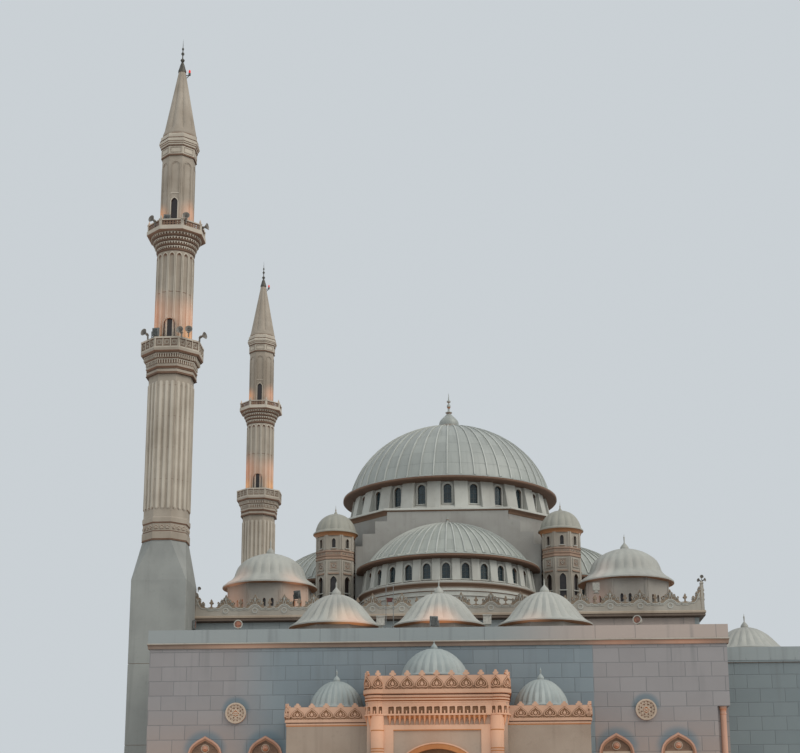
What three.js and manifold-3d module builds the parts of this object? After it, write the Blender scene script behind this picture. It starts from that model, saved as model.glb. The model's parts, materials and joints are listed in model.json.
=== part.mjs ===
// A domed mosque with two minarets, modelled at half its real size.
// Axes: X runs along the entrance front, +Y points away from it, +Z is up.
// The origin is on the ground under the crown of the main dome.
import * as THREE from 'three';
import { mergeVertices } from 'three/addons/utils/BufferGeometryUtils.js';
import Module from 'manifold-3d';

const wasm = await Module();
wasm.setup();

// One metre of the real building, in millimetres of this half-size model.
const METRE = 500;
const m = (metres) => Math.round(metres * METRE);

// Prayer hall: outer faces of its walls, and the heights of cornice and cresting.
const hall = {
  halfWidth: m(14.2), halfDepth: m(16.3), wall: m(0.6), wallTop: m(16), roofTop: m(16.3),
  cornice: m(0.3), crestTop: m(17.5), crestBand: m(0.55), crestThick: m(0.18), crestBay: m(1.68),
};
// How far two shapes run into each other where they form one solid.
const lap = 1;
// Ground floor slab inside the walls.
const floorTop = m(0.3);

// Porch block in front of the hall.
const porch = {
  left: m(-14.15), right: m(13.82), front: m(-28.16), wall: m(0.6), top: m(13.66),
  bandBottom: m(12.75), bandOut: m(0.08), roofBottom: m(12.9), roofTop: m(13.3),
  notch: m(0.6), notchTop: m(9.75), colonnette: m(0.14),
};
const porchBack = -hall.halfDepth;

// Tall niches with an ogee head, in pairs, and the window inside each of them.
const niche = { width: m(1.63), sill: m(3.9), shoulder: m(7.55), apex: m(8.5), depth: m(0.15) };
const nicheWindow = { width: m(1.1), sill: m(4.3), top: m(7.45) };
const nichePair = { near: m(8.38), far: m(11.3), centres: [m(-9.84), 0, m(9.84)] };

// Doorways behind the portal arch, one in the porch wall and one in the hall wall.
const doorway = { width: m(2.8), springing: m(3.6), apex: m(5) };
// Doorway from the porch into the wing.
const sideDoor = { y: m(-19.6), width: m(1.6), top: m(3.2) };

// Portal: a tall centre with an arch, and a lower part on each side.
const portal = {
  halfWidth: m(3.2), front: m(-32), top: m(9.61), sideHalfWidth: m(7), sideFront: m(-31.1),
  sideTop: m(8.9), roomHalfWidth: m(6.5), roomFront: m(-30.4), roomTop: m(8.2),
  arch: { width: m(3.6), springing: m(5.5), apex: m(7.75) },
  columnX: m(2.72), columnRadius: m(0.29), columnTop: m(8.5),
};
const crown = {
  halfWidth: m(3.45), front: m(-32.3), bottom: m(9.61), top: m(10.17), crestTop: m(11.1),
  crestThick: m(0.14), crestBay: m(0.68), crestBand: m(0.5),
};
const sideCrestTop = m(9.75);

// Lower wing at the right of the porch, two bays long, each bay with a dome.
const wing = {
  bay: m(5.4), bays: 2, front: m(-23), wall: m(0.5), top: m(13.28), bandBottom: m(12.5),
  roofBottom: m(12.5), roofTop: m(12.9), windowWidth: m(1.1), sill: m(3), windowTop: m(5.8),
};

// Central block under the main dome: a square with cut corners and stepped gable walls.
const block = {
  half: m(7), cornerHalf: m(3.86), top: m(24.65), corniceOut: m(0.12), corniceHeight: m(0.25),
  innerRadius: m(6), archRadius: m(4.9), archSpringing: m(17.4), gableOut: m(0.2), gableThick: m(0.9),
};
// Steps of the gable, as half width and height, from the top step down.
const gableSteps = [[m(3.83), m(24.4)], [m(4.58), m(23.8)], [m(5.38), m(23)], [m(5.83), m(22.2)]];

const drum = {
  bottom: block.top, top: m(26.35), outer: m(6.45), inner: m(6), windows: 24,
  windowWidth: m(0.48), sill: m(25.05), springing: m(26), apex: m(26.3),
  pierTop: m(6.5), pierFoot: m(6.95), pierWidth: m(0.85), pierRoot: m(6.2),
};
const mainDome = {
  radius: m(6.78), centre: m(25.4), shell: m(0.45), eave: m(7.25), eaveBottom: m(26.62), segments: 36,
  finialTop: m(34.5),
};

// Half domes on the four sides of the central block, over a curved wall with windows.
const semi = {
  from: block.half + block.gableOut, eave: m(5.75), foot: m(5.3), eaveBottom: m(20.45), apex: m(23.6),
  shell: m(0.35), wallRadius: m(5.2), wallThick: m(0.45), wallTop: m(20.3), skirtRadius: m(5.5),
  skirtTop: m(18.9), windows: 13, pitch: 180 / 14, windowWidth: m(0.48), sill: m(19.05),
  springing: m(19.8), windowApex: m(20.05), segments: 28,
};

// Octagonal turrets at the corners of the central block.
const turret = {
  place: m(7.1), apothem: m(1.2), wall: m(0.22), top: m(22.7), hollowTop: m(22.4), eave: m(1.45),
  eaveBottom: m(22.85), apex: m(24.3), domeRadius: m(1.3),
};
const turretWindow = { width: m(0.42), sill: m(19.1), springing: m(19.85), apex: m(20.15) };

// Bell-shaped domes over the corners of the hall, along the porch, on the portal and on the wing.
const cornerDome = {
  x: m(10.7), y: m(10.85), drumApothem: m(2.27), drumTop: m(18.7), eave: m(2.85), eaveBottom: m(18.9),
  apex: m(21.05), shell: m(0.25),
};
const porchDome = {
  spacing: m(5.42), y: m(-23.1), drumApothem: m(2.05), drumTop: m(14.3), eave: m(2.5), eaveBottom: m(14.48),
  apex: m(16.4), shell: m(0.22),
};
const portalDome = {
  y: m(-29.85), drumApothem: m(1.15), drumTop: m(11), eave: m(1.52), eaveBottom: m(11.08), apex: m(12.4),
  shell: m(0.16),
};
const sideDome = {
  x: m(4.82), y: m(-29.62), drumApothem: m(1.02), drumTop: m(9.6), eave: m(1.32), eaveBottom: m(9.68),
  apex: m(10.92), shell: m(0.16),
};
const wingDome = {
  y: m(-19.6), drumApothem: m(1.9), drumTop: m(13.35), eave: m(2.3), eaveBottom: m(13.5), apex: m(15.15),
  shell: m(0.2),
};
// Outline of these domes from the brim up, as shares of the eave radius and of the rise above it.
const bell = [[1, 0.03], [0.87, 0.16], [0.75, 0.32], [0.68, 0.54], [0.57, 0.74], [0.36, 0.91]];
const bellRoom = 3;

// Minarets: heights from the ground and circumradii of the octagonal and round stages.
const minaret = {
  x: m(-15.7), y: m(17.85), baseHalf: m(1.55), baseTop: m(18.1), bandBottom: m(20.24), bandTop: m(21.84),
  bandRadius: m(1.44), shaftRadius: m(1.38), shaftTop: m(29.8), wellRadius: m(0.9),
  lowerFloor: m(31.45), lowerRail: m(32.35), lowerRadius: m(1.9), railThick: m(0.14),
  middleRadius: m(1.1), middleTop: m(37.6), middleWell: m(0.8), fluteDepth: m(0.06), flutes: 16,
  upperFloor: m(38.95), upperRail: m(39.9), upperRadius: m(1.68),
  topRadius: m(0.98), topShaft: m(43.84), frieze: m(44.7), corniceRadius: m(1.25), corniceTop: m(45),
  topEnd: m(45.27), topWell: m(0.68), spireRadius: m(1.04), spireTop: m(49.76), spireTip: m(52.06),
  spireShell: m(0.15), spireRoomTop: m(48.76),
  middleDoor: { width: m(0.66), springing: m(33.3), apex: m(33.7) },
  upperDoor: { width: m(0.4), springing: m(41.1), apex: m(41.4) },
};

const stone = new THREE.MeshStandardMaterial({ color: 0xb9b2a6, roughness: 0.85, metalness: 0 });
const panel = new THREE.MeshStandardMaterial({ color: 0xa9aeb0, roughness: 0.7, metalness: 0 });
const warmStone = new THREE.MeshStandardMaterial({ color: 0xd3ab8f, roughness: 0.85, metalness: 0 });
const roofing = new THREE.MeshStandardMaterial({ color: 0xb4b8b0, roughness: 0.6, metalness: 0.1 });
const flooring = new THREE.MeshStandardMaterial({ color: 0xa8a49c, roughness: 0.7, metalness: 0 });

// Closed geometry to a solid that can be joined and cut.
function toSolid(geometry) {
  geometry.deleteAttribute('normal');
  geometry.deleteAttribute('uv');
  const merged = mergeVertices(geometry, 1e-3);
  const place = merged.getAttribute('position');
  const kept = [];
  let volume = 0;
  const corner = (i) => new THREE.Vector3().fromBufferAttribute(place, i);
  for (let i = 0; i < merged.index.count; i += 3) {
    const [a, b, c] = [0, 1, 2].map((k) => merged.index.getX(i + k));
    if (a === b || b === c || c === a) continue;
    kept.push(a, b, c);
    volume += corner(a).dot(corner(b).cross(corner(c)));
  }
  const faces = volume < 0 ? kept.reverse() : kept;
  const mesh = new wasm.Mesh({
    numProp: 3,
    vertProperties: new Float32Array(place.array),
    triVerts: new Uint32Array(faces),
  });
  return new wasm.Manifold(mesh);
}

function toGeometry(solid) {
  const mesh = solid.getMesh();
  const geometry = new THREE.BufferGeometry();
  geometry.setAttribute('position', new THREE.BufferAttribute(new Float32Array(mesh.vertProperties), 3));
  geometry.setIndex(new THREE.BufferAttribute(new Uint32Array(mesh.triVerts), 1));
  geometry.computeVertexNormals();
  return geometry;
}

// Basic solids.
function box(x0, x1, y0, y1, z0, z1) {
  const geometry = new THREE.BoxGeometry(x1 - x0, y1 - y0, z1 - z0);
  geometry.translate((x0 + x1) / 2, (y0 + y1) / 2, (z0 + z1) / 2);
  return toSolid(geometry);
}

// Outline in X and Y, raised from z0 to z1.
function prism(outline, z0, z1) {
  const shape = new THREE.Shape(outline.map(([x, y]) => new THREE.Vector2(x, y)));
  const geometry = new THREE.ExtrudeGeometry(shape, { depth: z1 - z0, bevelEnabled: false });
  geometry.translate(0, 0, z0);
  return toSolid(geometry);
}

// Outline in X and Z, drawn through the wall from y0 to y1.
function wallPrism(outline, y0, y1) {
  const shape = new THREE.Shape(outline.map(([x, z]) => new THREE.Vector2(x, z)));
  const geometry = new THREE.ExtrudeGeometry(shape, { depth: y1 - y0, bevelEnabled: false });
  geometry.rotateX(Math.PI / 2);
  geometry.translate(0, y1, 0);
  return toSolid(geometry);
}

// Profile of radius and height, turned round the Z axis with its first side facing -Y.
function turned(profile, segments) {
  const points = profile.map(([radius, z]) => new THREE.Vector2(radius, z));
  const geometry = new THREE.LatheGeometry(points, segments, -Math.PI / segments);
  geometry.rotateX(Math.PI / 2);
  return toSolid(geometry);
}

// Polygonal tube or column, given by the circumradius of its outer and inner faces.
function column(radius, z0, z1, sides, turn = Math.PI / sides) {
  const corners = Array.from({ length: sides }, (_, i) => {
    const angle = turn + (2 * Math.PI * i) / sides;
    return [radius * Math.sin(angle), -radius * Math.cos(angle)];
  });
  return prism(corners, z0, z1);
}

const join = (solids) => solids.reduce((sum, solid) => sum.add(solid));
const cut = (solid, tools) => tools.reduce((rest, tool) => rest.subtract(tool), solid);
const aroundZ = (solid, angle) => solid.rotate([0, 0, angle]);
const octagonRadius = (apothem) => apothem / Math.cos(Math.PI / 8);

// Outline of a small opening with a pointed head, standing on its sill.
function pointedOutline(x, width, sill, springing, apex) {
  const half = width / 2;
  return [[x - half, sill], [x + half, sill], [x + half, springing], [x, apex], [x - half, springing]];
}

// Outline of a large arch, pointed and bowed out on both sides.
function archOutline(width, springing, apex) {
  const half = width / 2;
  const rise = apex - springing;
  const bow = [[1, 0], [0.9, 0.45], [0.55, 0.85], [0, 1]];
  const right = bow.map(([across, up]) => [half * across, springing + rise * up]);
  const left = right.slice(0, -1).reverse().map(([x, z]) => [-x, z]);
  return [[-half, 0], [half, 0], ...right, ...left];
}

// Outline of a niche whose head curves up to a point.
function ogeeOutline(x, { width, sill, shoulder, apex }) {
  const half = width / 2;
  const rise = apex - shoulder;
  const head = [[1, 0], [0.84, 0.45], [0.3, 0.8], [0, 1]];
  const right = head.map(([across, up]) => [x + half * across, shoulder + rise * up]);
  const left = head.slice(0, -1).reverse().map(([across, up]) => [x - half * across, shoulder + rise * up]);
  return [[x - half, sill], [x + half, sill], ...right, ...left];
}

// Row of cresting merlons on a band, from x = -length / 2 to length / 2.
function crest(length, bay, thick, bottom, band, top) {
  const count = Math.round(length / bay);
  const pitch = length / count;
  const rise = top - bottom - band;
  const merlon = [[0, 0], [0.5, 1]];
  const line = [];
  for (let i = 0; i < count; i += 1) {
    const from = i * pitch - length / 2;
    merlon.forEach(([along, up]) => line.push([from + along * pitch, bottom + band + up * rise]));
  }
  line.push([length / 2, bottom + band]);
  return wallPrism([[-length / 2, bottom], ...line, [length / 2, bottom]].reverse(), -thick / 2, thick / 2);
}

// Points of a dome's curve, from its start up to just below the crown.
function domeArc(radius, centre, start, steps) {
  const points = [];
  for (let i = 0; i < steps; i += 1) {
    const angle = start + ((Math.PI / 2 - start) * i) / steps;
    points.push([radius * Math.cos(angle), centre + radius * Math.sin(angle)]);
  }
  return points;
}

// Dome with a cavetto under its eave, not yet hollowed.
function domeMass({ radius, centre, eave, eaveBottom, drumTop, neck }, segments, steps) {
  const brim = (eave - neck) * 0.2;
  const start = Math.asin((eaveBottom + 2 * brim - centre) / radius);
  return turned([
    [0, drumTop],
    [neck, drumTop],
    [neck + (eave - neck) * 0.3, drumTop + (eaveBottom - drumTop) * 0.4],
    [eave, eaveBottom],
    [eave, eaveBottom + brim],
    ...domeArc(radius, centre, start, steps),
    [0, centre + radius],
  ], segments);
}

// Hollow under a dome: a well from z = base, closed above by the inner face of the shell.
function domeHollow({ radius, centre, shell, drumTop }, base, segments, steps) {
  const inner = radius - shell;
  const start = Math.asin(Math.max(0, (drumTop - centre) / inner));
  return turned([
    [0, base], [inner * Math.cos(start), base],
    ...domeArc(inner, centre, start, steps),
    [0, centre + inner],
  ], segments);
}

// Onion-shaped finial with a rod, sunk a little into the crown that carries it.
function finial(crownTop, tip) {
  const height = tip - crownTop;
  const at = (out, up) => [height * out, crownTop + height * up];
  return turned([at(0, -0.1), at(0.24, -0.1), at(0.26, 0.06), at(0.06, 0.33), at(0.05, 0.7), [0, tip]], 8);
}

const group = new THREE.Group();
group.name = 'mosque';

function add(name, solid, material, x = 0, y = 0) {
  const mesh = new THREE.Mesh(toGeometry(solid), material);
  mesh.name = name;
  mesh.position.set(x, y, 0);
  group.add(mesh);
}

// Footprint of the near and far minaret, which the roof edges leave free.
function minaretFootprint(side) {
  const y = side * minaret.y;
  const { x, baseHalf, baseTop } = minaret;
  return box(x - baseHalf, x + baseHalf, y - baseHalf, y + baseHalf, 0, baseTop);
}
const minaretFeet = [minaretFootprint(-1), minaretFootprint(1)];

// Floor slab: the floors of hall, porch, portal and wing, joined by the thresholds of the doorways.
function makeFloor() {
  const { halfWidth, halfDepth, wall } = hall;
  const { left, right, front } = porch;
  const { arch, roomHalfWidth, roomFront } = portal;
  const doorHalf = doorway.width / 2;
  const wingRight = right + wing.bay * wing.bays;
  return join([
    box(wall - halfWidth, halfWidth - wall, wall - halfDepth, halfDepth - wall, 0, floorTop),
    box(left + porch.wall, right - porch.wall, front + porch.wall, porchBack, 0, floorTop),
    box(-roomHalfWidth, roomHalfWidth, roomFront, front, 0, floorTop),
    box(-doorHalf, doorHalf, front, front + porch.wall, 0, floorTop),
    box(-doorHalf, doorHalf, -halfDepth, wall - halfDepth, 0, floorTop),
    box(-arch.width / 2, arch.width / 2, portal.front, roomFront, 0, floorTop),
    box(right, wingRight - wing.wall, wing.front + wing.wall, porchBack - wing.wall, 0, floorTop),
    sideDoorCutter(0, floorTop),
  ]);
}

// Window niches in a wall whose outer face is at y = face and which runs back to y = face + wall.
function nicheCutters(xs, face, wall) {
  const { width, sill, top } = nicheWindow;
  return xs.flatMap((x) => [
    wallPrism(ogeeOutline(x, niche), face - niche.depth, face + niche.depth),
    box(x - width / 2, x + width / 2, face - wall, face + 2 * wall, sill, top),
  ]);
}

function sideDoorCutter(z0, z1) {
  const { y, width } = sideDoor;
  return box(porch.right - porch.wall, porch.right, y - width / 2, y + width / 2, z0, z1);
}

function pairs(centres) {
  const half = (nichePair.far - nichePair.near) / 2;
  return centres.flatMap((centre) => [centre - half, centre + half]);
}

const doorCutter = (face, wall) => wallPrism(
  archOutline(doorway.width, doorway.springing, doorway.apex), face - wall, face + 2 * wall,
);

function makeHallWalls() {
  const { halfWidth, halfDepth, wall, wallTop } = hall;
  const longWall = box(-halfWidth, halfWidth, -halfDepth, wall - halfDepth, 0, wallTop);
  const sideLength = halfDepth - wall;
  const sideWall = box(-sideLength, sideLength, -halfWidth, wall - halfWidth, 0, wallTop);
  const sideWindows = nicheCutters(pairs(nichePair.centres), -halfWidth, wall);
  const backWindows = nicheCutters(pairs(nichePair.centres), -halfDepth, wall);
  add('hall_front_wall', cut(longWall, [doorCutter(-halfDepth, wall)]), panel);
  add('hall_back_wall', aroundZ(cut(longWall, backWindows), 180), panel);
  add('hall_left_wall', aroundZ(cut(sideWall, sideWindows), -90), panel);
  add('hall_right_wall', aroundZ(cut(sideWall, sideWindows), 90), panel);
}

const corners = [[-1, -1], [1, -1], [-1, 1], [1, 1]];
const cornerNames = ['front_left', 'front_right', 'back_left', 'back_right'];

// Clear radius of the hollow inside a bell-shaped dome and its drum.
const roomRadius = ({ eave, shell }) => bell[bellRoom][0] * eave - shell;

// Roof slab with its cornice, open under the central block, the half domes and the corner domes.
function makeHallRoof() {
  const { halfWidth, halfDepth, cornice, wallTop, roofTop } = hall;
  const [low, high] = [wallTop - lap, roofTop + lap];
  const x = halfWidth + cornice;
  const y = halfDepth + cornice;
  const slab = box(-x, x, -y, y, wallTop, roofTop);
  const openings = [column(block.innerRadius, low, high, 16)];
  const ledge = m(0.1);
  const arm = column(semi.wallRadius - semi.wallThick - ledge, low, high, 16).translate([0, -semi.from, 0]);
  const arch = block.archRadius - block.gableThick / 2;
  const side = join([arm, box(-arch, arch, -semi.from, 0, low, high)]);
  [0, 90, 180, 270].forEach((angle) => openings.push(aroundZ(side, angle)));
  const corner = column(roomRadius(cornerDome), low, high, 8);
  corners.forEach(([sx, sy]) => openings.push(corner.translate([sx * cornerDome.x, sy * cornerDome.y, 0])));
  add('hall_roof', cut(slab, [...openings, ...minaretFeet]), stone);
}

// Pierced cresting along the roof edges. The minarets part the left side from the rest.
function makeHallParapet() {
  const { halfWidth, halfDepth, cornice, roofTop, crestTop, crestBand, crestThick, crestBay } = hall;
  const halfThick = crestThick / 2;
  const outX = halfWidth + cornice - halfThick;
  const outY = halfDepth + cornice - halfThick;
  const row = (length) => crest(length, crestBay, crestThick, roofTop, crestBand, crestTop);
  const long = row(2 * outX).translate([0, -outY, 0]);
  const short = row(2 * outY).translate([0, -outX, 0]);
  const postHalf = m(0.2);
  const postTop = crestTop + m(0.3);
  const posts = [-1, 1].map((side) => box(
    outX - postHalf, outX + halfThick, side * outY - postHalf, side * outY + postHalf, roofTop, postTop,
  ));
  const inside = box(-outX, outX + halfThick, -outY - halfThick, outY + halfThick, roofTop, postTop);
  const rest = join([long, aroundZ(long, 180), aroundZ(short, 90), ...posts]).intersect(inside);
  const leftEnd = box(-outX - crestThick, -outX + crestThick, -halfDepth, halfDepth, roofTop, postTop);
  add('hall_parapet', cut(rest, minaretFeet), stone);
  add('hall_left_parapet', cut(aroundZ(short, -90).intersect(leftEnd), [rest]), stone);
}

function makePorch() {
  const { left, right, front, wall, top, bandBottom, bandOut, notch, notchTop, colonnette } = porch;
  const band = box(left - bandOut, right + bandOut, front - bandOut, front, bandBottom, top);
  const face = join([box(left, right, front, front + wall, 0, top), band]);
  const columnAt = [right - notch / 2, front + notch / 2];
  const notchCut = box(right - notch, right + lap, front - lap, front + notch, -lap, notchTop);
  const shaft = column(colonnette, 0, notchTop + lap, 12).translate([...columnAt, 0]);
  const backing = box(right - notch - lap, columnAt[0], columnAt[1], front + notch, 0, notchTop + lap);
  const { near, far } = nichePair;
  const windows = nicheCutters([-far, -near, near, far], front, wall);
  const openFront = cut(face, [...windows, doorCutter(front, wall), notchCut]);
  add('porch_front_wall', join([openFront, shaft, backing]), panel);
  const rightWall = join([
    box(right - wall, right, front + wall, porchBack, 0, top),
    box(right, right + bandOut, front, wing.front, bandBottom, top),
  ]);
  add('porch_right_wall', cut(rightWall, [sideDoorCutter(0, sideDoor.top)]), panel);
  const leftWall = join([
    box(left, left + wall, front + wall, porchBack, 0, top),
    box(left - bandOut, left, front, -minaret.y - minaret.baseHalf, bandBottom, top),
  ]);
  add('porch_left_wall', leftWall, panel);
  const { roofBottom, roofTop } = porch;
  const slab = box(left + wall, right - wall, front + wall, porchBack, roofBottom, roofTop);
  const well = column(roomRadius(porchDome), roofBottom - lap, roofTop + lap, 8);
  const wells = [-1, 0, 1].map((i) => well.translate([i * porchDome.spacing, porchDome.y, 0]));
  add('porch_roof', cut(slab, wells), stone);
}

function makePortal() {
  const { halfWidth, front, top, sideHalfWidth, sideFront, sideTop, arch } = portal;
  const { roomHalfWidth, roomFront, roomTop, columnRadius, columnTop, columnX } = portal;
  const back = porch.front;
  const shaft = column(columnRadius, 0, columnTop, 12);
  const mass = join([
    box(-halfWidth, halfWidth, front, back, 0, top),
    box(-sideHalfWidth, sideHalfWidth, sideFront, back, 0, sideTop),
    ...[-1, 1].map((side) => shaft.translate([side * columnX, front, 0])),
  ]);
  const band = box(-sideHalfWidth, sideHalfWidth, back - porch.bandOut, back, porch.bandBottom, porch.top);
  const gate = wallPrism(archOutline(arch.width, arch.springing, arch.apex), front - lap, back + lap);
  const room = box(-roomHalfWidth, roomHalfWidth, roomFront, back + lap, -lap, roomTop);
  add('portal_walls', cut(mass, [gate, room, band]), warmStone);

  const slab = box(-crown.halfWidth, crown.halfWidth, crown.front, back, crown.bottom, crown.top);
  const { crestThick, crestBay, crestBand, crestTop } = crown;
  const row = (length) => crest(length, crestBay, crestThick, crown.top, crestBand, crestTop);
  const crestFront = row(2 * crown.halfWidth).translate([0, crown.front + crestThick / 2, 0]);
  const crestSide = aroundZ(row(back - crown.front), 90);
  const sideX = crown.halfWidth - crestThick / 2;
  const sideY = (crown.front + back) / 2;
  const crestSides = [-1, 1].map((side) => crestSide.translate([side * sideX, sideY, 0]));
  add('portal_crown', join([slab, crestFront, ...crestSides]), warmStone);
}

function makePortalSideCrests() {
  const { halfWidth, sideHalfWidth, sideFront, sideTop } = portal;
  const { crestThick, crestBay, crestBand } = crown;
  const start = Math.max(halfWidth, crown.halfWidth);
  const length = sideHalfWidth - start;
  const depth = porch.front - sideFront;
  const row = (long) => crest(long, crestBay, crestThick, sideTop, crestBand, sideCrestTop);
  const endX = sideHalfWidth - crestThick / 2;
  for (const [side, name] of [[-1, 'portal_left_crest'], [1, 'portal_right_crest']]) {
    const along = row(length).translate([side * (start + length / 2), sideFront + crestThick / 2, 0]);
    const across = aroundZ(row(depth), 90).translate([side * endX, sideFront + depth / 2, 0]);
    add(name, join([along, across]), warmStone);
  }
}

// Bell-shaped dome on an octagonal drum that stands on a roof at z = base.
function smallDome(size, base, segments) {
  const { drumApothem, drumTop, eave, eaveBottom, apex, shell } = size;
  const outer = octagonRadius(drumApothem);
  const rise = apex - eaveBottom;
  const outside = bell.map(([across, up]) => [across * eave, eaveBottom + up * rise]);
  const brim = [[0, drumTop], [outer + lap, drumTop], [eave, eaveBottom]];
  const dome = turned([...brim, ...outside, [0, apex]], segments);
  const mass = join([column(outer, base, drumTop + lap, 8), dome]);
  const room = roomRadius(size);
  const inside = outside.slice(bellRoom).map(([radius, z]) => [radius - shell, z - shell / 2]);
  return cut(mass, [turned([[0, base - lap], [room, base - lap], ...inside, [0, apex - shell]], 8)]);
}

function makeSmallDomes() {
  corners.forEach(([sx, sy], i) => {
    const dome = smallDome(cornerDome, hall.roofTop, 16);
    add(`${cornerNames[i]}_corner_dome`, dome, roofing, sx * cornerDome.x, sy * cornerDome.y);
  });
  ['left', 'middle', 'right'].forEach((name, i) => {
    const x = (i - 1) * porchDome.spacing;
    add(`porch_${name}_dome`, smallDome(porchDome, porch.roofTop, 16), roofing, x, porchDome.y);
  });
  add('portal_middle_dome', smallDome(portalDome, crown.top, 12), roofing, 0, portalDome.y);
  add('portal_left_dome', smallDome(sideDome, portal.sideTop, 12), roofing, -sideDome.x, sideDome.y);
  add('portal_right_dome', smallDome(sideDome, portal.sideTop, 12), roofing, sideDome.x, sideDome.y);
  for (let bay = 0; bay < wing.bays; bay += 1) {
    const x = porch.right + (bay + 0.5) * wing.bay;
    add(`wing_dome_${bay + 1}`, smallDome(wingDome, wing.roofTop, 12), roofing, x, wingDome.y);
  }
}

function makeWing() {
  const { front, wall, top, bandBottom, bay, bays } = wing;
  const { roofBottom, roofTop, windowWidth, sill, windowTop } = wing;
  const left = porch.right;
  const right = left + bay * bays;
  const { bandOut } = porch;
  const shell = cut(box(left, right, front, porchBack, 0, top), [
    box(left - lap, right - wall, front + wall, porchBack - wall, -lap, top + lap),
  ]);
  const band = box(left + bandOut, right + bandOut, front - bandOut, front, bandBottom, top);
  const sideBand = box(right, right + bandOut, front, porchBack, bandBottom, top);
  const centres = Array.from({ length: bays }, (_, i) => left + (i + 0.5) * bay);
  const windowHalf = windowWidth / 2;
  const windows = centres.map((x) => box(
    x - windowHalf, x + windowHalf, front - wall, front + 2 * wall, sill, windowTop,
  ));
  add('wing_walls', cut(join([shell, band, sideBand]), windows), panel);
  const slab = box(left, right - wall, front + wall, porchBack - wall, roofBottom, roofTop);
  const well = column(roomRadius(wingDome), roofBottom - lap, roofTop + lap, 8);
  add('wing_roof', cut(slab, centres.map((x) => well.translate([x, wingDome.y, 0]))), stone);
}

// Central block with the stepped gable walls and an arch on each side.
function makeBlock() {
  const { half, cornerHalf, top, corniceOut, corniceHeight, innerRadius } = block;
  const { archRadius, archSpringing, gableOut, gableThick } = block;
  const outline = (grow) => {
    const a = half + grow;
    const b = cornerHalf + grow * 0.5;
    return [[-b, -a], [b, -a], [a, -b], [a, b], [b, a], [-b, a], [-a, b], [-a, -b]];
  };
  const cornice = prism(outline(corniceOut), top - corniceHeight, top);
  const face = -half - gableOut;
  const gable = join(gableSteps.map(([x, z]) => box(-x, x, face, face + gableThick, hall.roofTop, z)));
  const gables = [0, 90, 180, 270].map((angle) => aroundZ(gable, angle));
  const well = column(innerRadius, hall.roofTop - lap, top + lap, 24);
  const archHead = [];
  const arcSteps = 6;
  for (let i = 0; i <= arcSteps; i += 1) {
    const angle = (Math.PI * i) / arcSteps;
    archHead.push([archRadius * Math.cos(angle), archSpringing + archRadius * Math.sin(angle)]);
  }
  const foot = hall.roofTop - lap;
  const arch = wallPrism([[-archRadius, foot], [archRadius, foot], ...archHead], face - gableOut, 0);
  const arches = [0, 90, 180, 270].map((angle) => aroundZ(arch, angle));
  const body = prism(outline(0), hall.roofTop, top);
  add('central_block', cut(join([body, cornice, ...gables]), [well, ...arches]), stone);
}

// Drum of the main dome, with a window between each pair of sloping piers.
function makeDrum() {
  const { bottom, top, outer, inner, windows, windowWidth, sill, springing, apex } = drum;
  const { pierTop, pierFoot, pierWidth, pierRoot } = drum;
  const wallProfile = [[inner, bottom], [outer, bottom], [outer, top], [inner, top], [inner, bottom]];
  const wall = turned(wallProfile, windows);
  const pitch = 360 / windows;
  const pierShape = [[-pierTop, top], [-pierFoot, bottom], [-pierRoot, bottom], [-pierRoot, top]];
  const pier = aroundZ(wallPrism(pierShape, -pierWidth / 2, pierWidth / 2), 90);
  const head = pointedOutline(0, windowWidth, sill, springing, apex);
  const opening = wallPrism(head, -pierFoot, -inner * 0.9);
  const turns = Array.from({ length: windows }, (_, i) => i * pitch);
  const piers = turns.map((angle) => aroundZ(pier, angle + pitch / 2));
  const openings = turns.map((angle) => aroundZ(opening, angle));
  add('main_drum', cut(join([wall, ...piers]), openings), stone);
}

function makeMainDome() {
  const { segments, centre, radius, finialTop } = mainDome;
  const shape = { ...mainDome, drumTop: drum.top, neck: drum.pierTop };
  const mass = join([domeMass(shape, segments, 7), finial(centre + radius, finialTop)]);
  add('main_dome', cut(mass, [domeHollow(shape, drum.top - lap, segments / 2, 4)]), roofing);
}

const sideNames = ['front', 'right', 'back', 'left'];

// Half dome and its curved wall, in front of the gable, turned to each side in turn.
function makeHalfDomes() {
  const { from, eave, foot, wallRadius, wallThick, skirtRadius, skirtTop, wallTop, eaveBottom } = semi;
  const { apex, shell, segments, windows, pitch, windowWidth, sill, springing, windowApex } = semi;
  const rise = apex - eaveBottom;
  const radius = (foot * foot + rise * rise) / (2 * rise);
  const centre = apex - radius;
  const shape = { radius, centre, shell, eave, eaveBottom, drumTop: wallTop, neck: wallRadius };
  const reach = block.half;
  const frontHalf = box(-reach, reach, -reach, 0, hall.roofTop, apex + lap);
  const mass = cut(domeMass(shape, segments, 5), [domeHollow(shape, wallTop - lap, segments / 2, 3)]);
  const dome = mass.intersect(frontHalf);
  const inner = wallRadius - wallThick;
  const wallProfile = [
    [inner, hall.roofTop], [skirtRadius, hall.roofTop], [skirtRadius, skirtTop], [wallRadius, skirtTop],
    [wallRadius, wallTop], [inner, wallTop], [inner, hall.roofTop],
  ];
  const wall = turned(wallProfile, segments).intersect(frontHalf);
  const head = pointedOutline(0, windowWidth, sill, springing, windowApex);
  const opening = wallPrism(head, -skirtRadius, -inner * 0.9);
  const outermost = (windows - 1) / 2;
  const turns = Array.from({ length: windows }, (_, i) => (i - outermost) * pitch);
  const pierced = cut(wall, turns.map((angle) => aroundZ(opening, angle)));
  sideNames.forEach((name, i) => {
    const [px, py] = [[0, -1], [1, 0], [0, 1], [-1, 0]][i];
    add(`${name}_half_dome`, aroundZ(dome, i * 90), roofing, px * from, py * from);
    add(`${name}_half_dome_wall`, aroundZ(pierced, i * 90), stone, px * from, py * from);
  });
}

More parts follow.
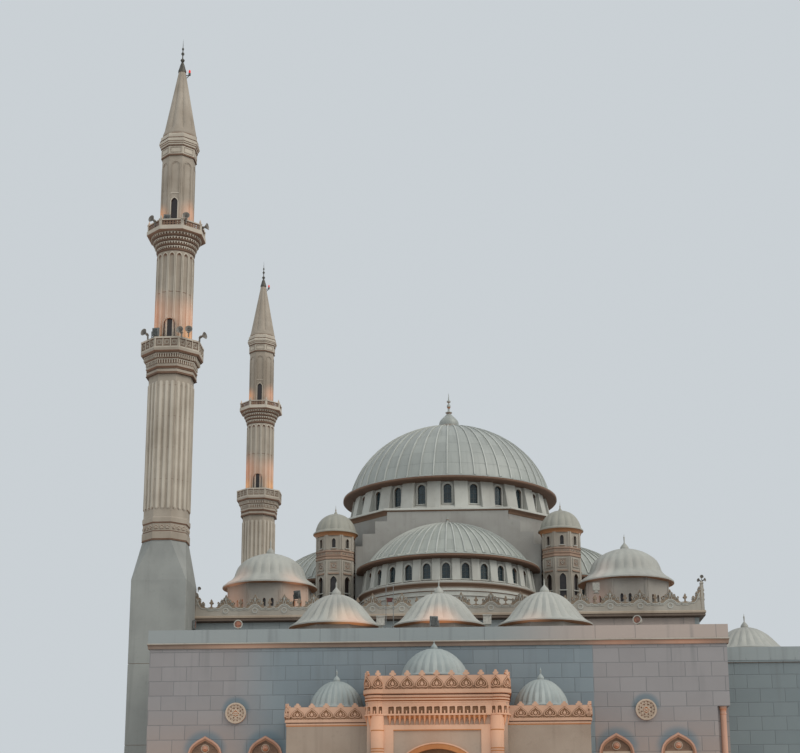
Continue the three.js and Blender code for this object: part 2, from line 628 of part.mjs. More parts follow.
function makeTurrets() {
  const { place, apothem, wall, top, hollowTop, eave, eaveBottom, apex, domeRadius } = turret;
  const shaft = column(octagonRadius(apothem), hall.roofTop, top + lap, 8);
  const neck = octagonRadius(apothem) + lap;
  const centre = apex - domeRadius;
  const shape = { radius: domeRadius, centre, eave, eaveBottom, drumTop: top, neck };
  const hollow = column(octagonRadius(apothem - wall), hall.roofTop - lap, hollowTop, 8);
  const { width, sill, springing, apex: windowApex } = turretWindow;
  const head = pointedOutline(0, width, sill, springing, windowApex);
  const window = wallPrism(head, -apothem - wall, wall * 2 - apothem);
  const windows = Array.from({ length: 8 }, (_, i) => aroundZ(window, i * 45));
  const body = cut(join([shaft, domeMass(shape, 8, 3)]), [hollow, ...windows]);
  corners.forEach(([sx, sy], i) => add(`${cornerNames[i]}_turret`, body, stone, sx * place, sy * place));
}

// Octagonal balcony: a corbel that widens upwards, a floor and a solid rail, with a hole for the stair.
function balcony({ from, bottom, floor, rail, radius, hole, sides }) {
  const thick = octagonRadius(minaret.railThick);
  const top = floor - m(0.15);
  const at = (out, up) => [from + (radius - from) * out, bottom + (top - bottom) * up];
  const outside = [[from, bottom], at(0.35, 0.35), at(0.6, 0.7), at(0.9, 1)];
  const corbel = turned([[0, bottom], ...outside, [0, top]], sides);
  const dish = cut(column(radius, top, rail, 8), [column(radius - thick, floor, rail + lap, 8)]);
  return cut(join([corbel, dish]), [column(hole, bottom - lap, rail + lap, 8)]);
}

// Doorway of a balcony, in the side of the shaft that faces the entrance front.
function balconyDoor({ width, springing, apex }, floor, shaftRadius, well) {
  return wallPrism(pointedOutline(0, width, floor - lap, springing, apex), -shaftRadius * 1.2, -well * 0.5);
}

// Square base that turns into an octagonal shaft above a band.
function minaretLowerShaft() {
  const { baseHalf, baseTop, bandBottom, bandTop, bandRadius, shaftRadius, shaftTop, wellRadius } = minaret;
  const corner = baseHalf * 1.5;
  const base = box(-baseHalf, baseHalf, -baseHalf, baseHalf, 0, bandBottom);
  const sloping = [[corner, baseTop], [bandRadius, bandBottom]];
  const broach = turned([[0, 0], [corner, 0], ...sloping, [0, bandBottom]], 8);
  const band = column(bandRadius, bandBottom, bandTop, 8);
  const shaft = column(shaftRadius, bandTop, shaftTop, 8);
  return cut(join([base.intersect(broach), band, shaft]), [column(wellRadius, -lap, shaftTop + lap, 8)]);
}

// Round shaft with grooves all round.
function minaretMiddleShaft() {
  const { lowerFloor, middleRadius, middleTop, middleWell, flutes, fluteDepth, middleDoor } = minaret;
  const fluted = Array.from({ length: flutes * 2 }, (_, i) => {
    const radius = middleRadius - (i % 2 === 0 ? fluteDepth : 0);
    const angle = (i * Math.PI) / flutes;
    return [radius * Math.sin(angle), -radius * Math.cos(angle)];
  });
  return cut(prism(fluted, lowerFloor, middleTop), [
    column(middleWell, lowerFloor - lap, middleTop + lap, 8),
    balconyDoor(middleDoor, lowerFloor, middleRadius, middleWell),
  ]);
}

// Octagonal shaft that widens to the cornice under the spire.
function minaretUpperShaft() {
  const { upperFloor, topRadius, topShaft, frieze, corniceRadius, corniceTop, topEnd, topWell } = minaret;
  const widened = topRadius + m(0.06);
  const corniceBottom = corniceTop - m(0.12);
  const mass = turned([
    [0, upperFloor], [topRadius, upperFloor], [topRadius, topShaft], [widened, frieze],
    [corniceRadius, corniceBottom], [corniceRadius, corniceTop], [minaret.spireRadius, topEnd], [0, topEnd],
  ], 8);
  return cut(mass, [
    column(topWell, upperFloor - lap, topEnd + lap, 8),
    balconyDoor(minaret.upperDoor, upperFloor, topRadius, topWell),
  ]);
}

// Pointed spire, hollow below, with the bulbs and rod of its finial.
function minaretSpire() {
  const { topEnd, spireRadius, spireTop, spireTip, spireShell, spireRoomTop } = minaret;
  const foot = spireRadius - m(0.05);
  const finialAt = (radius, up) => [radius, spireTop + (spireTip - spireTop) * up];
  return turned([
    [0, spireRoomTop], [foot - spireShell, topEnd], [foot, topEnd], [m(0.17), spireTop],
    finialAt(m(0.1), 0.3), finialAt(m(0.16), 0.38), finialAt(m(0.05), 0.5), finialAt(m(0.12), 0.62),
    finialAt(m(0.03), 0.75), [0, spireTip],
  ], 8);
}

function makeMinaret(name, side) {
  const p = minaret;
  const put = (piece, solid, material) => add(`${name}_minaret_${piece}`, solid, material, p.x, side * p.y);
  put('lower_shaft', minaretLowerShaft(), stone);
  put('lower_balcony', balcony({
    from: p.shaftRadius, bottom: p.shaftTop, floor: p.lowerFloor, rail: p.lowerRail,
    radius: p.lowerRadius, hole: p.wellRadius, sides: 8,
  }), stone);
  put('middle_shaft', minaretMiddleShaft(), stone);
  put('upper_balcony', balcony({
    from: p.middleRadius, bottom: p.middleTop, floor: p.upperFloor, rail: p.upperRail,
    radius: p.upperRadius, hole: p.middleWell, sides: 12,
  }), stone);
  put('upper_shaft', minaretUpperShaft(), stone);
  put('spire', minaretSpire(), roofing);
}

add('floor', makeFloor(), flooring);
makeHallWalls();
makeHallRoof();
makeHallParapet();
makePorch();
makePortal();
makePortalSideCrests();
makeWing();
makeBlock();
makeDrum();
makeMainDome();
makeHalfDomes();
makeTurrets();
makeSmallDomes();
makeMinaret('near', -1);
makeMinaret('far', 1);

export default group;
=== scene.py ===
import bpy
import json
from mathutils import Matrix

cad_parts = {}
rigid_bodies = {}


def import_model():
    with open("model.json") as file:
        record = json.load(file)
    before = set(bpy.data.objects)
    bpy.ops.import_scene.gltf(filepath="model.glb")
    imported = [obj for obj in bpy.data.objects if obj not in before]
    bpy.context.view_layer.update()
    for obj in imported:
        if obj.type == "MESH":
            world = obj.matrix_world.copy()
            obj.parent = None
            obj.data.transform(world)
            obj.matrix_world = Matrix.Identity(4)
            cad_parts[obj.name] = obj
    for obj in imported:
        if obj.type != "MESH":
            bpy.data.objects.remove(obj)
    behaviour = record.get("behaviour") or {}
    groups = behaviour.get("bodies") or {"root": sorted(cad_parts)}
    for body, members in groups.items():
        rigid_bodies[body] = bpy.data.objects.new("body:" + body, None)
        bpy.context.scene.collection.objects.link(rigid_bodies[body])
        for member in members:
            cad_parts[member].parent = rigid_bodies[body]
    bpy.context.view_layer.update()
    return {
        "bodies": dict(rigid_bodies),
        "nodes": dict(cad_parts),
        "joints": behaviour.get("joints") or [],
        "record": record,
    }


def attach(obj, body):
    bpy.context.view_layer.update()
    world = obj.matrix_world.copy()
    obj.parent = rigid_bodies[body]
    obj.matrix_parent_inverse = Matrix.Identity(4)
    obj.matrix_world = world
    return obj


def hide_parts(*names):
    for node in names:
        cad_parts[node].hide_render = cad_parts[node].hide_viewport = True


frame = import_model()

import json
import math
from functools import partialmethod

import bmesh
import bpy
from mathutils import Matrix, Vector

# THE STAND
# The photograph was taken from the ground, about 104 m in front of the main dome, looking up at it.
# The model stands on a pale floor in a pale room, under two soft lamps.
# All pieces are worked out in metres of the real building, and the model is half as large.
HALF_SIZE = 0.5
eye = Vector((2.22, -103.59, 1.7)) * HALF_SIZE
look_left, look_up, head_tilt = math.radians(3.1), math.radians(14.38), math.radians(-0.18)
gaze = Matrix.Rotation(look_left, 3, "Z") @ Matrix.Rotation(math.pi / 2 + look_up, 3, "X")
gaze = gaze @ Matrix.Rotation(head_tilt, 3, "Z")
bpy.ops.object.camera_add(location=eye, rotation=gaze.to_euler())
camera = bpy.context.object
camera.data.sensor_width = 36
camera.data.lens = 70.4
camera.data.shift_y = 0.13
camera.data.clip_end = 600
bpy.context.scene.camera = camera
bpy.context.scene.view_settings.view_transform = "Standard"


class Wire:
    """One output of a material's nodes. Arithmetic on it adds Math nodes to the same material."""

    def __init__(self, socket):
        self.socket = socket

    def node(self, kind, settings, sockets, output=0):
        """Adds a node: its settings first, then the values or wires of its sockets."""
        tree = self.socket.id_data
        made = tree.nodes.new("ShaderNode" + kind)
        for name, value in settings.items():
            setattr(made, name, value)
        for name, value in sockets.items():
            if isinstance(value, Wire):
                tree.links.new(value.socket, made.inputs[name])
            else:
                made.inputs[name].default_value = value
        return Wire(made.outputs[output])

    def maths(self, operation, *others):
        return self.node("Math", {"operation": operation}, dict(enumerate([self, *others])))

    __add__ = __radd__ = partialmethod(maths, "ADD")
    __sub__ = partialmethod(maths, "SUBTRACT")
    __mul__ = __rmul__ = partialmethod(maths, "MULTIPLY")
    __truediv__ = partialmethod(maths, "DIVIDE")
    __mod__ = partialmethod(maths, "FLOORED_MODULO")
    __lt__ = partialmethod(maths, "LESS_THAN")
    __gt__ = partialmethod(maths, "GREATER_THAN")
    __abs__ = partialmethod(maths, "ABSOLUTE")

    def __rsub__(self, other):
        return self.node("Math", {"operation": "SUBTRACT"}, {0: other, 1: self})

    def between(self, start, end):
        """0 below start, 1 above end, and smooth in between. Start may be the larger."""
        low, high = min(start, end), max(start, end)
        wanted = (0.0, 1.0) if start < end else (1.0, 0.0)
        return self.node("MapRange", {"interpolation_type": "SMOOTHSTEP"}, {
            0: self, 1: low, 2: high, 3: wanted[0], 4: wanted[1]
        })

    def axes(self):
        """The three numbers of a place or a direction."""
        first = self.node("SeparateXYZ", {}, {0: self})
        return [Wire(out) for out in first.socket.node.outputs]

    def blend(self, colour, other):
        """Colour where this wire is 0, other where it is 1."""
        return self.node("Mix", {"data_type": "RGBA"}, {0: self, 6: colour, 7: other}, output=2)


def tone(red, green, blue):
    """A colour as a screen shows it, from 0 to 255, as the linear numbers that shaders take."""
    return (*[(value / 255) ** 2.2 for value in (red, green, blue)], 1)


def shaded(colour, share):
    """A linear colour brought down to a share of its light."""
    return [*(part * share for part in colour[:3]), 1]


def new_finish(name, roughness):
    """A material, its shader, and wires for the place in real metres and the way the surface faces."""
    material = bpy.data.materials.new(name)
    material.use_nodes = True
    shader = material.node_tree.nodes["Principled BSDF"]
    shader.inputs["Roughness"].default_value = roughness
    where = material.node_tree.nodes.new("ShaderNodeTexCoord")
    on_model = Wire(where.outputs["Object"])
    place = on_model.node("VectorMath", {"operation": "SCALE"}, {0: on_model, "Scale": 1 / HALF_SIZE})
    return material, shader, place, Wire(where.outputs["Normal"])


def dress(shader, **wires):
    """Joins wires to the shader's sockets: Base_Color=colour and so on, with Relief as a bump height."""
    relief = wires.pop("Relief", None)
    if relief is not None:
        height, depth = relief
        wires["Normal"] = height.node("Bump", {}, {
            "Strength": 1.0, "Distance": depth * HALF_SIZE, "Height": height
        })
    for name, wire in wires.items():
        shader.id_data.links.new(wire.socket, shader.inputs[name.replace("_", " ")])


def speckle(place, size, detail=3, stretch=(1, 1, 1)):
    """Soft random marks about size metres across, from 0 to 1."""
    drawn = place.node("VectorMath", {"operation": "MULTIPLY"}, {0: place, 1: stretch})
    return drawn.node("TexNoise", {}, {
        "Vector": drawn, "Scale": 1 / size, "Detail": detail, "Roughness": 0.55
    })


def drop_selection():
    if bpy.context.mode != "OBJECT":
        bpy.ops.object.mode_set(mode="OBJECT")
    bpy.ops.object.select_all(action="DESELECT")


def hold(piece):
    """Selects one piece alone and makes it the active one."""
    drop_selection()
    piece.select_set(True)
    bpy.context.view_layer.objects.active = piece


drop_selection()
bpy.ops.mesh.primitive_plane_add(size=400)
pale_floor = bpy.context.object
pale_floor.name = "pale_floor"
floor_look, floor_shader, floor_place, _ = new_finish("pale_floor", 0.8)
dress(floor_shader, Base_Color=speckle(floor_place, 9).blend(tone(206, 205, 202), tone(214, 213, 210)))
pale_floor.data.materials.append(floor_look)

room = bpy.data.worlds.new("pale_room")
room.use_nodes = True
room.node_tree.nodes["Background"].inputs["Color"].default_value = tone(216, 223, 228)
room.node_tree.nodes["Background"].inputs["Strength"].default_value = 0.85
bpy.context.scene.world = room

for lamp_name, turn, height, strength, softness, light in [
    ("soft_key", 60, 40, 1.55, 50, (1, 0.95, 0.88)),
    ("soft_fill", -40, 30, 0.3, 90, (0.86, 0.93, 1)),
]:
    bpy.ops.object.light_add(type="SUN", location=(0, 0, 40))
    lamp = bpy.context.object
    lamp.name = lamp_name
    lamp.rotation_euler = (math.radians(90 - height), 0, math.radians(turn))
    lamp.data.energy = strength
    lamp.data.angle = math.radians(softness)
    lamp.data.color = light

# CLAD WALLS
# Hall, porch and wing are clad in honed grey stone panels, about 1.22 m by 0.706 m, set in half bond with
# open joints. The panels hang on the concrete walls. Above 12.7 m the stones are long, with few joints.
COURSE, PANEL_LENGTH, FIRST_JOINT = 0.706, 1.225, 12.57
BAND_JOINTS = (-9.37, -5.79, -1.9, 2.2, 7.54, 9.46, 13.32)
FAR_RIGHT = 6.75
left_panels, right_panels = (1.213, 0.15), (1.25, 23.584)
pair_place, pair_half = 9.84, 1.46


def panel_joints(place, facing):
    """Which panel a place is on, as a random number, and the joint lines round it."""
    x, y, z = place.axes()
    faces_front = abs(facing.axes()[1]) > 0.5
    along = x * faces_front + y * (1 - faces_front)
    course = (z - FIRST_JOINT) / COURSE
    row = course.maths("FLOOR")
    far_right = along > FAR_RIGHT
    (left_length, left_start), (right_length, right_start) = left_panels, right_panels
    on_left, on_right = along / left_length + left_start, along / right_length + right_start
    panel = (1 - far_right) * on_left + far_right * on_right + (row % 2) * 0.5
    from_bed = abs(course % 1 - 0.5) * -COURSE + COURSE / 2
    from_end = abs(panel % 1 - 0.5) * -PANEL_LENGTH + PANEL_LENGTH / 2
    coursed = z < 12.72
    joint = from_bed.maths("MINIMUM", from_end).between(0.028, 0.008) * coursed
    for there in BAND_JOINTS:
        joint = joint.maths("MAXIMUM", abs(x - there).between(0.028, 0.008) * (1 - coursed) * faces_front)
    which = row.node("CombineXYZ", {}, {0: panel.maths("FLOOR"), 1: row, 2: faces_front})
    lottery = which.node("TexWhiteNoise", {"noise_dimensions": "3D"}, {"Vector": which})
    return lottery * coursed, joint


def clad_stone():
    material, shader, place, facing = new_finish("clad_stone", 0.62)
    lottery, joint = panel_joints(place, facing)
    x, y, z = place.axes()
    # Painted lamplight: towards the ends of the porch walls the stone takes the warm pink of the lamps'
    # light, most of all low down.
    ends = x.between(7.36, 7.44).maths("MAXIMUM", x.between(-7.5, -10.5)) * x.between(14.0, 13.9) * (y < -20)
    low = z.between(10.5, 6.5)
    darker = (lottery * 0.4 + speckle(place, 1.7) * 0.6).between(0.1, 1.05)
    lamp_warmed = low.blend(
        darker.blend(tone(144, 139, 138), tone(132, 127, 126)),
        darker.blend(tone(156, 138, 128), tone(144, 126, 117))
    )
    cool = darker.blend(tone(126, 136, 140), tone(113, 123, 128))
    on_wing = x > 13.95
    stone = ends.blend(on_wing.blend(cool, darker.blend(tone(121, 130, 131), tone(109, 118, 120))), lamp_warmed)
    plain = x.between(2.0, 7.6) * (1 - on_wing)
    top = (z > 12.6) * on_wing + z.between(12.9, 13.0) * (1 - on_wing)
    stone = (top * 0.85).blend(stone, plain.blend(tone(142, 148, 147), tone(172, 155, 144)))
    from_pair = abs(abs(x) - pair_place)
    over_niche = place.node("CombineXYZ", {}, {0: abs(from_pair - pair_half), 1: z - 7.75})
    over_roundel = place.node("CombineXYZ", {}, {0: from_pair, 1: z - 9.72})
    on_front = y < -27
    # Painted shade: a bluish halo on the front wall over each niche and each roundel.
    for spot, reach, above in (
        (over_niche, 1.2, z.between(7.2, 8.1)),
        (over_roundel, 0.78, z.between(9.5, 9.8))
    ):
        far = spot.node("VectorMath", {"operation": "LENGTH"}, {0: spot}, output="Value")
        shade = far.between(reach, reach * 0.66) * above * on_front
        stone = (shade * 0.7).blend(stone, tone(88, 110, 120))
    streaks = speckle(place, 0.5, 2, (1, 1, 0.07)).between(0.52, 0.8) * z.between(9.5, 12.7)
    stone = (streaks * 0.45).blend(stone, tone(96, 98, 98))
    stone = (joint * 0.4).blend(stone, tone(92, 97, 99))
    grain = speckle(place, 0.04, 4)
    relief = (1 - joint) * 0.01 + lottery * 0.003 + grain * 0.002
    dress(shader, Base_Color=stone, Roughness=grain * 0.2 + 0.5, Relief=(relief, 1.0))
    return material


clad = clad_stone()


def refinish(material, *names):
    """Gives solids of the frame their finish."""
    for name in names:
        for held in frame["nodes"][name].material_slots:
            held.material = material


refinish(
    clad, "hall_front_wall", "hall_back_wall", "hall_left_wall", "hall_right_wall", "porch_front_wall",
    "porch_right_wall", "porch_left_wall", "wing_walls"
)

# RENDERED AND CAST STONE
# The central block, the curved walls and all carved work are pale beige cast stone with a matt face.
# Undersides are painted brown as shade, and glow with the orange of the lamps that stand below them.


def lamplit(shader, place, glow):
    """Lets a surface shine with the light of nearby lamps, for each (spot, reach, colour) of glow."""
    shine = tone(0, 0, 0)
    for spot, reach, colour in glow:
        far = place.node("VectorMath", {"operation": "DISTANCE"}, {0: place, 1: spot}, output="Value")
        shine = far.between(reach, 0).blend(shine, tone(*colour))
    if glow:
        shader.inputs["Emission Strength"].default_value = 0.35
        dress(shader, Emission_Color=shine)


def cast_stone(name, light, dark, under, roughness=0.85, glow=()):
    """Cast stone with painted shade in the under colour where it faces down, and an orange glow near each
    lamp of glow.
    """
    material, shader, place, facing = new_finish(name, roughness)
    light, dark, under = tone(*light), tone(*dark), tone(*under)
    stone = speckle(place, 2.3).between(0.3, 0.75).blend(light, dark)
    streaks = speckle(place, 0.35, 3, (1, 1, 0.06)).between(0.5, 0.85)
    stone = (streaks * 0.35).blend(stone, shaded(dark, 0.62))
    grime = speckle(place, 0.22, 5).between(0.55, 0.85)
    stone = (grime * 0.25).blend(stone, shaded(dark, 0.55))
    # Painted shade: faces that point down turn to the under colour.
    hanging = facing.axes()[2].between(-0.04, -0.35)
    stone = hanging.blend(stone, under)
    lamplit(shader, place, glow)
    grain = speckle(place, 0.05, 4)
    dress(shader, Base_Color=stone, Roughness=grain * 0.16 + roughness - 0.1, Relief=(grain, 0.006))
    return material


# The third colour of each cast stone is the painted shade of its undersides.
pale_cast = cast_stone("pale_cast_stone", (156, 154, 148), (138, 134, 128), (118, 98, 84))
carved = cast_stone("carved_beige_stone", (172, 165, 153), (150, 141, 129), (104, 82, 68))
refinish(pale_cast, "central_block")

# FLAT ROOFS AND FLOOR
# The roofs are screed over membrane with grey ballast stains, and the floors are polished paving slabs
# 0.9 m square with narrow joints.


def roof_screed():
    material, shader, place, facing = new_finish("roof_screed", 0.9)
    patches = speckle(place, 3.1, 5)
    stone = patches.between(0.35, 0.7).blend(tone(134, 131, 124), tone(112, 110, 105))
    # Painted shade: faces of the roofs that point down turn brown.
    stone = facing.axes()[2].between(-0.1, -0.6).blend(stone, tone(104, 78, 60))
    grit = speckle(place, 0.06, 5)
    dress(
        shader,
        Base_Color=(grit.between(0.5, 0.8) * 0.3).blend(stone, tone(92, 90, 86)), Relief=(grit, 0.01)
    )
    return material


def paving():
    material, shader, place, _ = new_finish("paving", 0.4)
    x, y, _ = place.axes()
    slab = 0.9
    gap = abs(x / slab % 1 - 0.5).maths("MAXIMUM", abs(y / slab % 1 - 0.5)).between(0.485, 0.495)
    which = x.node("CombineXYZ", {}, {0: (x / slab).maths("FLOOR"), 1: (y / slab).maths("FLOOR")})
    lottery = which.node("TexWhiteNoise", {"noise_dimensions": "3D"}, {"Vector": which})
    stone = lottery.blend(tone(168, 163, 152), tone(150, 146, 138))
    veins = speckle(place, 0.4, 6).between(0.48, 0.56)
    stone = (veins * 0.3).blend(stone, tone(126, 118, 106))
    dress(shader, Base_Color=gap.blend(stone, tone(84, 80, 74)), Relief=(1 - gap, 0.006),
          Roughness=veins * 0.2 + 0.3)
    return material


refinish(roof_screed(), "hall_roof", "porch_roof", "wing_roof")
refinish(paving(), "floor")

# HALL CORNICE
# The edge of the hall roof is capped with two courses of cast stone bedded on the wall head: below a narrow
# cavetto painted dark brown as shade, and above it a light fillet with rounded edges.


def settle(piece, finish, *nodes, slot="carved_stone", smooth=None):
    """Halves a finished piece to the model's size, gives it its finish and hangs it on the building."""
    hold(piece)
    bpy.ops.object.transform_apply()
    piece.scale = (HALF_SIZE,) * 3
    bpy.ops.object.transform_apply()
    if smooth is not None:
        bpy.ops.object.shade_smooth_by_angle(angle=math.radians(smooth))
    if finish is not None:
        piece.data.materials.clear()
        piece.data.materials.append(finish)
    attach(piece, "root")
    if nodes:
        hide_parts(*nodes)
    return piece


def start_ring(name, sides, radius, height, turn):
    """A loop of edges round the Z axis, in edit mode and selected. Turn is in sides."""
    drop_selection()
    bpy.ops.mesh.primitive_circle_add(vertices=sides, radius=radius, location=(0, 0, height))
    ring = bpy.context.object
    ring.name = name
    ring.rotation_euler.z = math.pi * 2 / sides * turn
    bpy.ops.object.transform_apply()
    bpy.ops.object.mode_set(mode="EDIT")
    bpy.ops.mesh.select_all(action="SELECT")
    return ring


def extrude(*step):
    bpy.ops.mesh.extrude_region_move(TRANSFORM_OT_translate={"value": step})


def draw_out(profile, across=(0, 0)):
    """Extrudes the selected loop along (radius, height) steps. Radius 0 closes it to a point."""
    for (radius, height), (next_radius, next_height) in zip(profile, profile[1:]):
        extrude(0, 0, next_height - height)
        if next_radius == 0:
            bpy.ops.mesh.merge(type="CENTER")
        elif next_radius != radius:
            factor = [
                (half + next_radius) / (half + radius)
                if half else next_radius / radius
                for half in across
            ]
            bpy.ops.transform.resize(value=(*factor, 1), center_override=(0, 0, next_height))


def close_up():
    """Ends edit mode with doubles merged and all faces pointing outwards."""
    bpy.ops.mesh.select_all(action="SELECT")
    bpy.ops.mesh.remove_doubles(threshold=0.0004)
    bpy.ops.mesh.normals_make_consistent(inside=False)
    bpy.ops.object.mode_set(mode="OBJECT")


def turned(name, profile, sides, turn=0.0):
    """A solid turned on the Z axis from a flat underside at radius 0, or else a ring closed to its start."""
    flat = profile[0][0] == 0
    profile = profile[1:] if flat else [*profile, profile[0]]
    ring = start_ring(name, sides, *profile[0], turn)
    if flat:
        bpy.ops.mesh.edge_face_add()
    draw_out(profile)
    close_up()
    return ring


def run_round(name, half_x, half_y, profile, centre=(0, 0)):
    """A moulding round a rectangle. The profile is a closed line of (how far out, height)."""
    drop_selection()
    out, height = profile[0]
    bpy.ops.mesh.primitive_plane_add(size=2, location=(0, 0, height))
    ring = bpy.context.object
    ring.name = name
    ring.scale = (half_x + out, half_y + out, 1)
    bpy.ops.object.transform_apply()
    bpy.ops.object.mode_set(mode="EDIT")
    bpy.ops.mesh.select_all(action="SELECT")
    bpy.ops.mesh.delete(type="ONLY_FACE")
    bpy.ops.mesh.select_all(action="SELECT")
    draw_out([*profile, profile[0]], (half_x, half_y))
    close_up()
    ring.location = (*centre, 0)
    return ring


hall_half_x, hall_half_y = 14.2, 16.3
limewashed = cast_stone("limewashed_stone", (184, 184, 176), (162, 160, 152), (124, 98, 80))
# Painted shade: a brown stone for cavettos, grooves and recesses where shade falls, and for shade lines under
# mouldings.
brown_shade_stone = cast_stone("stained_moulding", (128, 101, 83), (106, 83, 68), (96, 73, 59))
cavetto = run_round("hall_cornice_cavetto", hall_half_x, hall_half_y, [
    (-0.03, 15.93), (0.04, 15.94), (0.1, 15.97), (0.24, 15.985), (0.31, 15.99), (0.32, 16.02),
    (0.31, 16.15), (-0.03, 16.15)
])
# Painted shade: the cavetto's dark brown.
settle(cavetto, cast_stone("cavetto_painted_shade", (112, 98, 86), (96, 83, 73), (88, 75, 66)))
fillet = run_round("hall_cornice_fillet", hall_half_x, hall_half_y, [
    (0.2, 16.13), (0.33, 16.135), (0.35, 16.16), (0.35, 16.26), (0.33, 16.29), (0.305, 16.3), (0.2, 16.3),
])
settle(fillet, cast_stone("roof_edge_stone", (172, 156, 138), (152, 136, 119), (104, 86, 72)))

# CENTRAL BLOCK CORNICE
# The cut-cornered block ends in a thin ledge over a cavetto of cast stone. The ledge is white with
# limewash above, and the cavetto, which faces down, is painted brown as shade.


def line_through(points):
    """Extrudes a single new vertex through points, in edit mode."""
    bpy.ops.mesh.primitive_plane_add(size=1, location=points[0])
    bpy.ops.mesh.merge(type="CENTER")
    for here, there in zip(points, points[1:]):
        extrude(*(end - start for start, end in zip(here, there)))


def traced(name, *lines):
    """Lines of edges through points, closed where they end at their start. In edit mode, all selected."""
    drop_selection()
    bpy.ops.mesh.primitive_plane_add(size=1)
    drawn = bpy.context.object
    drawn.name = name
    bpy.ops.object.mode_set(mode="EDIT")
    bpy.ops.mesh.select_mode(type="VERT")
    bpy.ops.mesh.delete(type="VERT")
    for points in lines:
        line_through(points)
    bpy.ops.mesh.select_all(action="SELECT")
    bpy.ops.mesh.remove_doubles(threshold=0.0004)
    return drawn


def cut_square(half, corner, height):
    """A square with cut corners as a closed line. Each side runs from -corner to corner."""
    plan = [(corner, -half), (half, -corner), (half, corner), (corner, half)]
    plan += [(-x, -y) for x, y in plan]
    return [(x, y, height) for x, y in [*plan, plan[0]]]


block_half = 7.0
block_cornice = traced("block_cornice", cut_square(block_half, 3.86, 24.22))
draw_out([
    (0, 24.22), (0.04, 24.24), (0.08, 24.32), (0.15, 24.39), (0.26, 24.44), (0.31, 24.48), (0.31, 24.57),
    (0.28, 24.61), (-0.3, 24.66), (-0.3, 24.22), (0, 24.22)
], (block_half, block_half))
close_up()
settle(block_cornice, limewashed)

# MAIN DRUM
# Twenty-four bays of cast stone stand in a ring: a round-headed window in a moulded surround, and between
# the windows a sloping pier. Teal glass sits in thin metal bars.


def arc(x, z, wide, tall, start, end, steps):
    """Points along an oval about (x, z), from one angle to another."""
    turns = [start + (end - start) * i / steps for i in range(steps + 1)]
    return [(x + wide * math.cos(turn), z + tall * math.sin(turn)) for turn in turns]


def arch_line(half, sill, springing, apex, steps=6, centre=0.0):
    """Outline of an opening from its lower left corner. A rise above half the width makes it pointed."""
    rise = apex - springing
    radius = (half * half + rise * rise) / (2 * half)
    right = arc(half - radius, springing, radius, radius, 0, math.asin(min(1, rise / radius)), steps)
    left = [(-x, z) for x, z in reversed(right[:-1])]
    return [(centre + x, z) for x, z in [(-half, sill), (half, sill), *right, *left]]


def cut_slab(name, y, depth, outline, *holes):
    """A slab from outlines of (x, z) on its front at y, running depth metres back, with holes through it."""
    slab = traced(name, *[[(x, y, z) for x, z in [*line, line[0]]] for line in (outline, *holes)])
    if holes:
        bpy.ops.mesh.fill()
    else:
        bpy.ops.mesh.edge_face_add()
    extrude(0, depth, 0)
    close_up()
    return slab


def block_line(left, right, bottom, top):
    return [(left, bottom), (right, bottom), (right, top), (left, top)]


def block(name, y, depth, *edges):
    """A block with its front at y. Edges are left, right, bottom and top."""
    return cut_slab(name, y, depth, block_line(*edges))


def joined(name, pieces):
    """One mesh from several pieces."""
    drop_selection()
    for piece in pieces:
        piece.select_set(True)
    bpy.context.view_layer.objects.active = pieces[0]
    if len(pieces) > 1:
        bpy.ops.object.join()
    pieces[0].name = name
    return pieces[0]


def shifted(piece, move=(0, 0, 0), turn=0.0, lean=0.0):
    """Turns a piece about the Z axis, after leaning its top towards -Y, and moves it, in its mesh."""
    piece.matrix_world = Matrix.Translation(move) @ Matrix.Rotation(math.radians(turn), 4, "Z") \
        @ Matrix.Rotation(math.radians(lean), 4, "X")
    hold(piece)
    bpy.ops.object.transform_apply()
    return piece


def copied(piece, name, move=(0, 0, 0), turn=0.0):
    """A copy with its own mesh, turned about the Z axis and moved."""
    hold(piece)
    bpy.ops.object.duplicate()
    copy = bpy.context.object
    copy.name = name
    return shifted(copy, move, turn)


def spread(piece, count, pitch):
    """Repeats a piece every pitch degrees about the Z axis: right round, or evenly about the front."""
    sweep = math.radians(pitch * (count - 1))
    shifted(piece, turn=0 if pitch * count > 359 else -pitch * (count - 1) / 2)
    bpy.ops.object.mode_set(mode="EDIT")
    bpy.ops.mesh.select_all(action="SELECT")
    bpy.ops.mesh.spin(steps=count - 1, dupli=True, angle=-sweep, center=(0, 0, 0), axis=(0, 0, 1))
    bpy.ops.object.mode_set(mode="OBJECT")
    return piece


def smooth_finish(name, clean, worn, spots, edges, rough, shine=0.0, metal=0.0, relief=0.0):
    """Glass, metal or paint: spots is (size, detail) of its wear, and rough runs from clean to worn."""
    material, shader, place, _ = new_finish(name, rough[0])
    shader.inputs["Metallic"].default_value = metal
    wear = speckle(place, *spots)
    colour = (wear.between(*edges) if edges else wear).blend(tone(*clean), tone(*worn))
    if shine:
        shader.inputs["Emission Strength"].default_value = shine
        dress(shader, Emission_Color=colour)
    if relief:
        dress(shader, Relief=(wear, relief))
    dress(shader, Base_Color=colour, Roughness=wear * (rough[1] - rough[0]) + rough[0])
    return material


glass = smooth_finish("teal_glass", (40, 58, 64), (26, 38, 42), (0.5, 4), (0.3, 0.75), (0.12, 0.37))
bars = smooth_finish("glazing_bar_metal", (58, 66, 66), (84, 88, 84), (0.12, 4), None, (0.3, 0.6), metal=0.4)


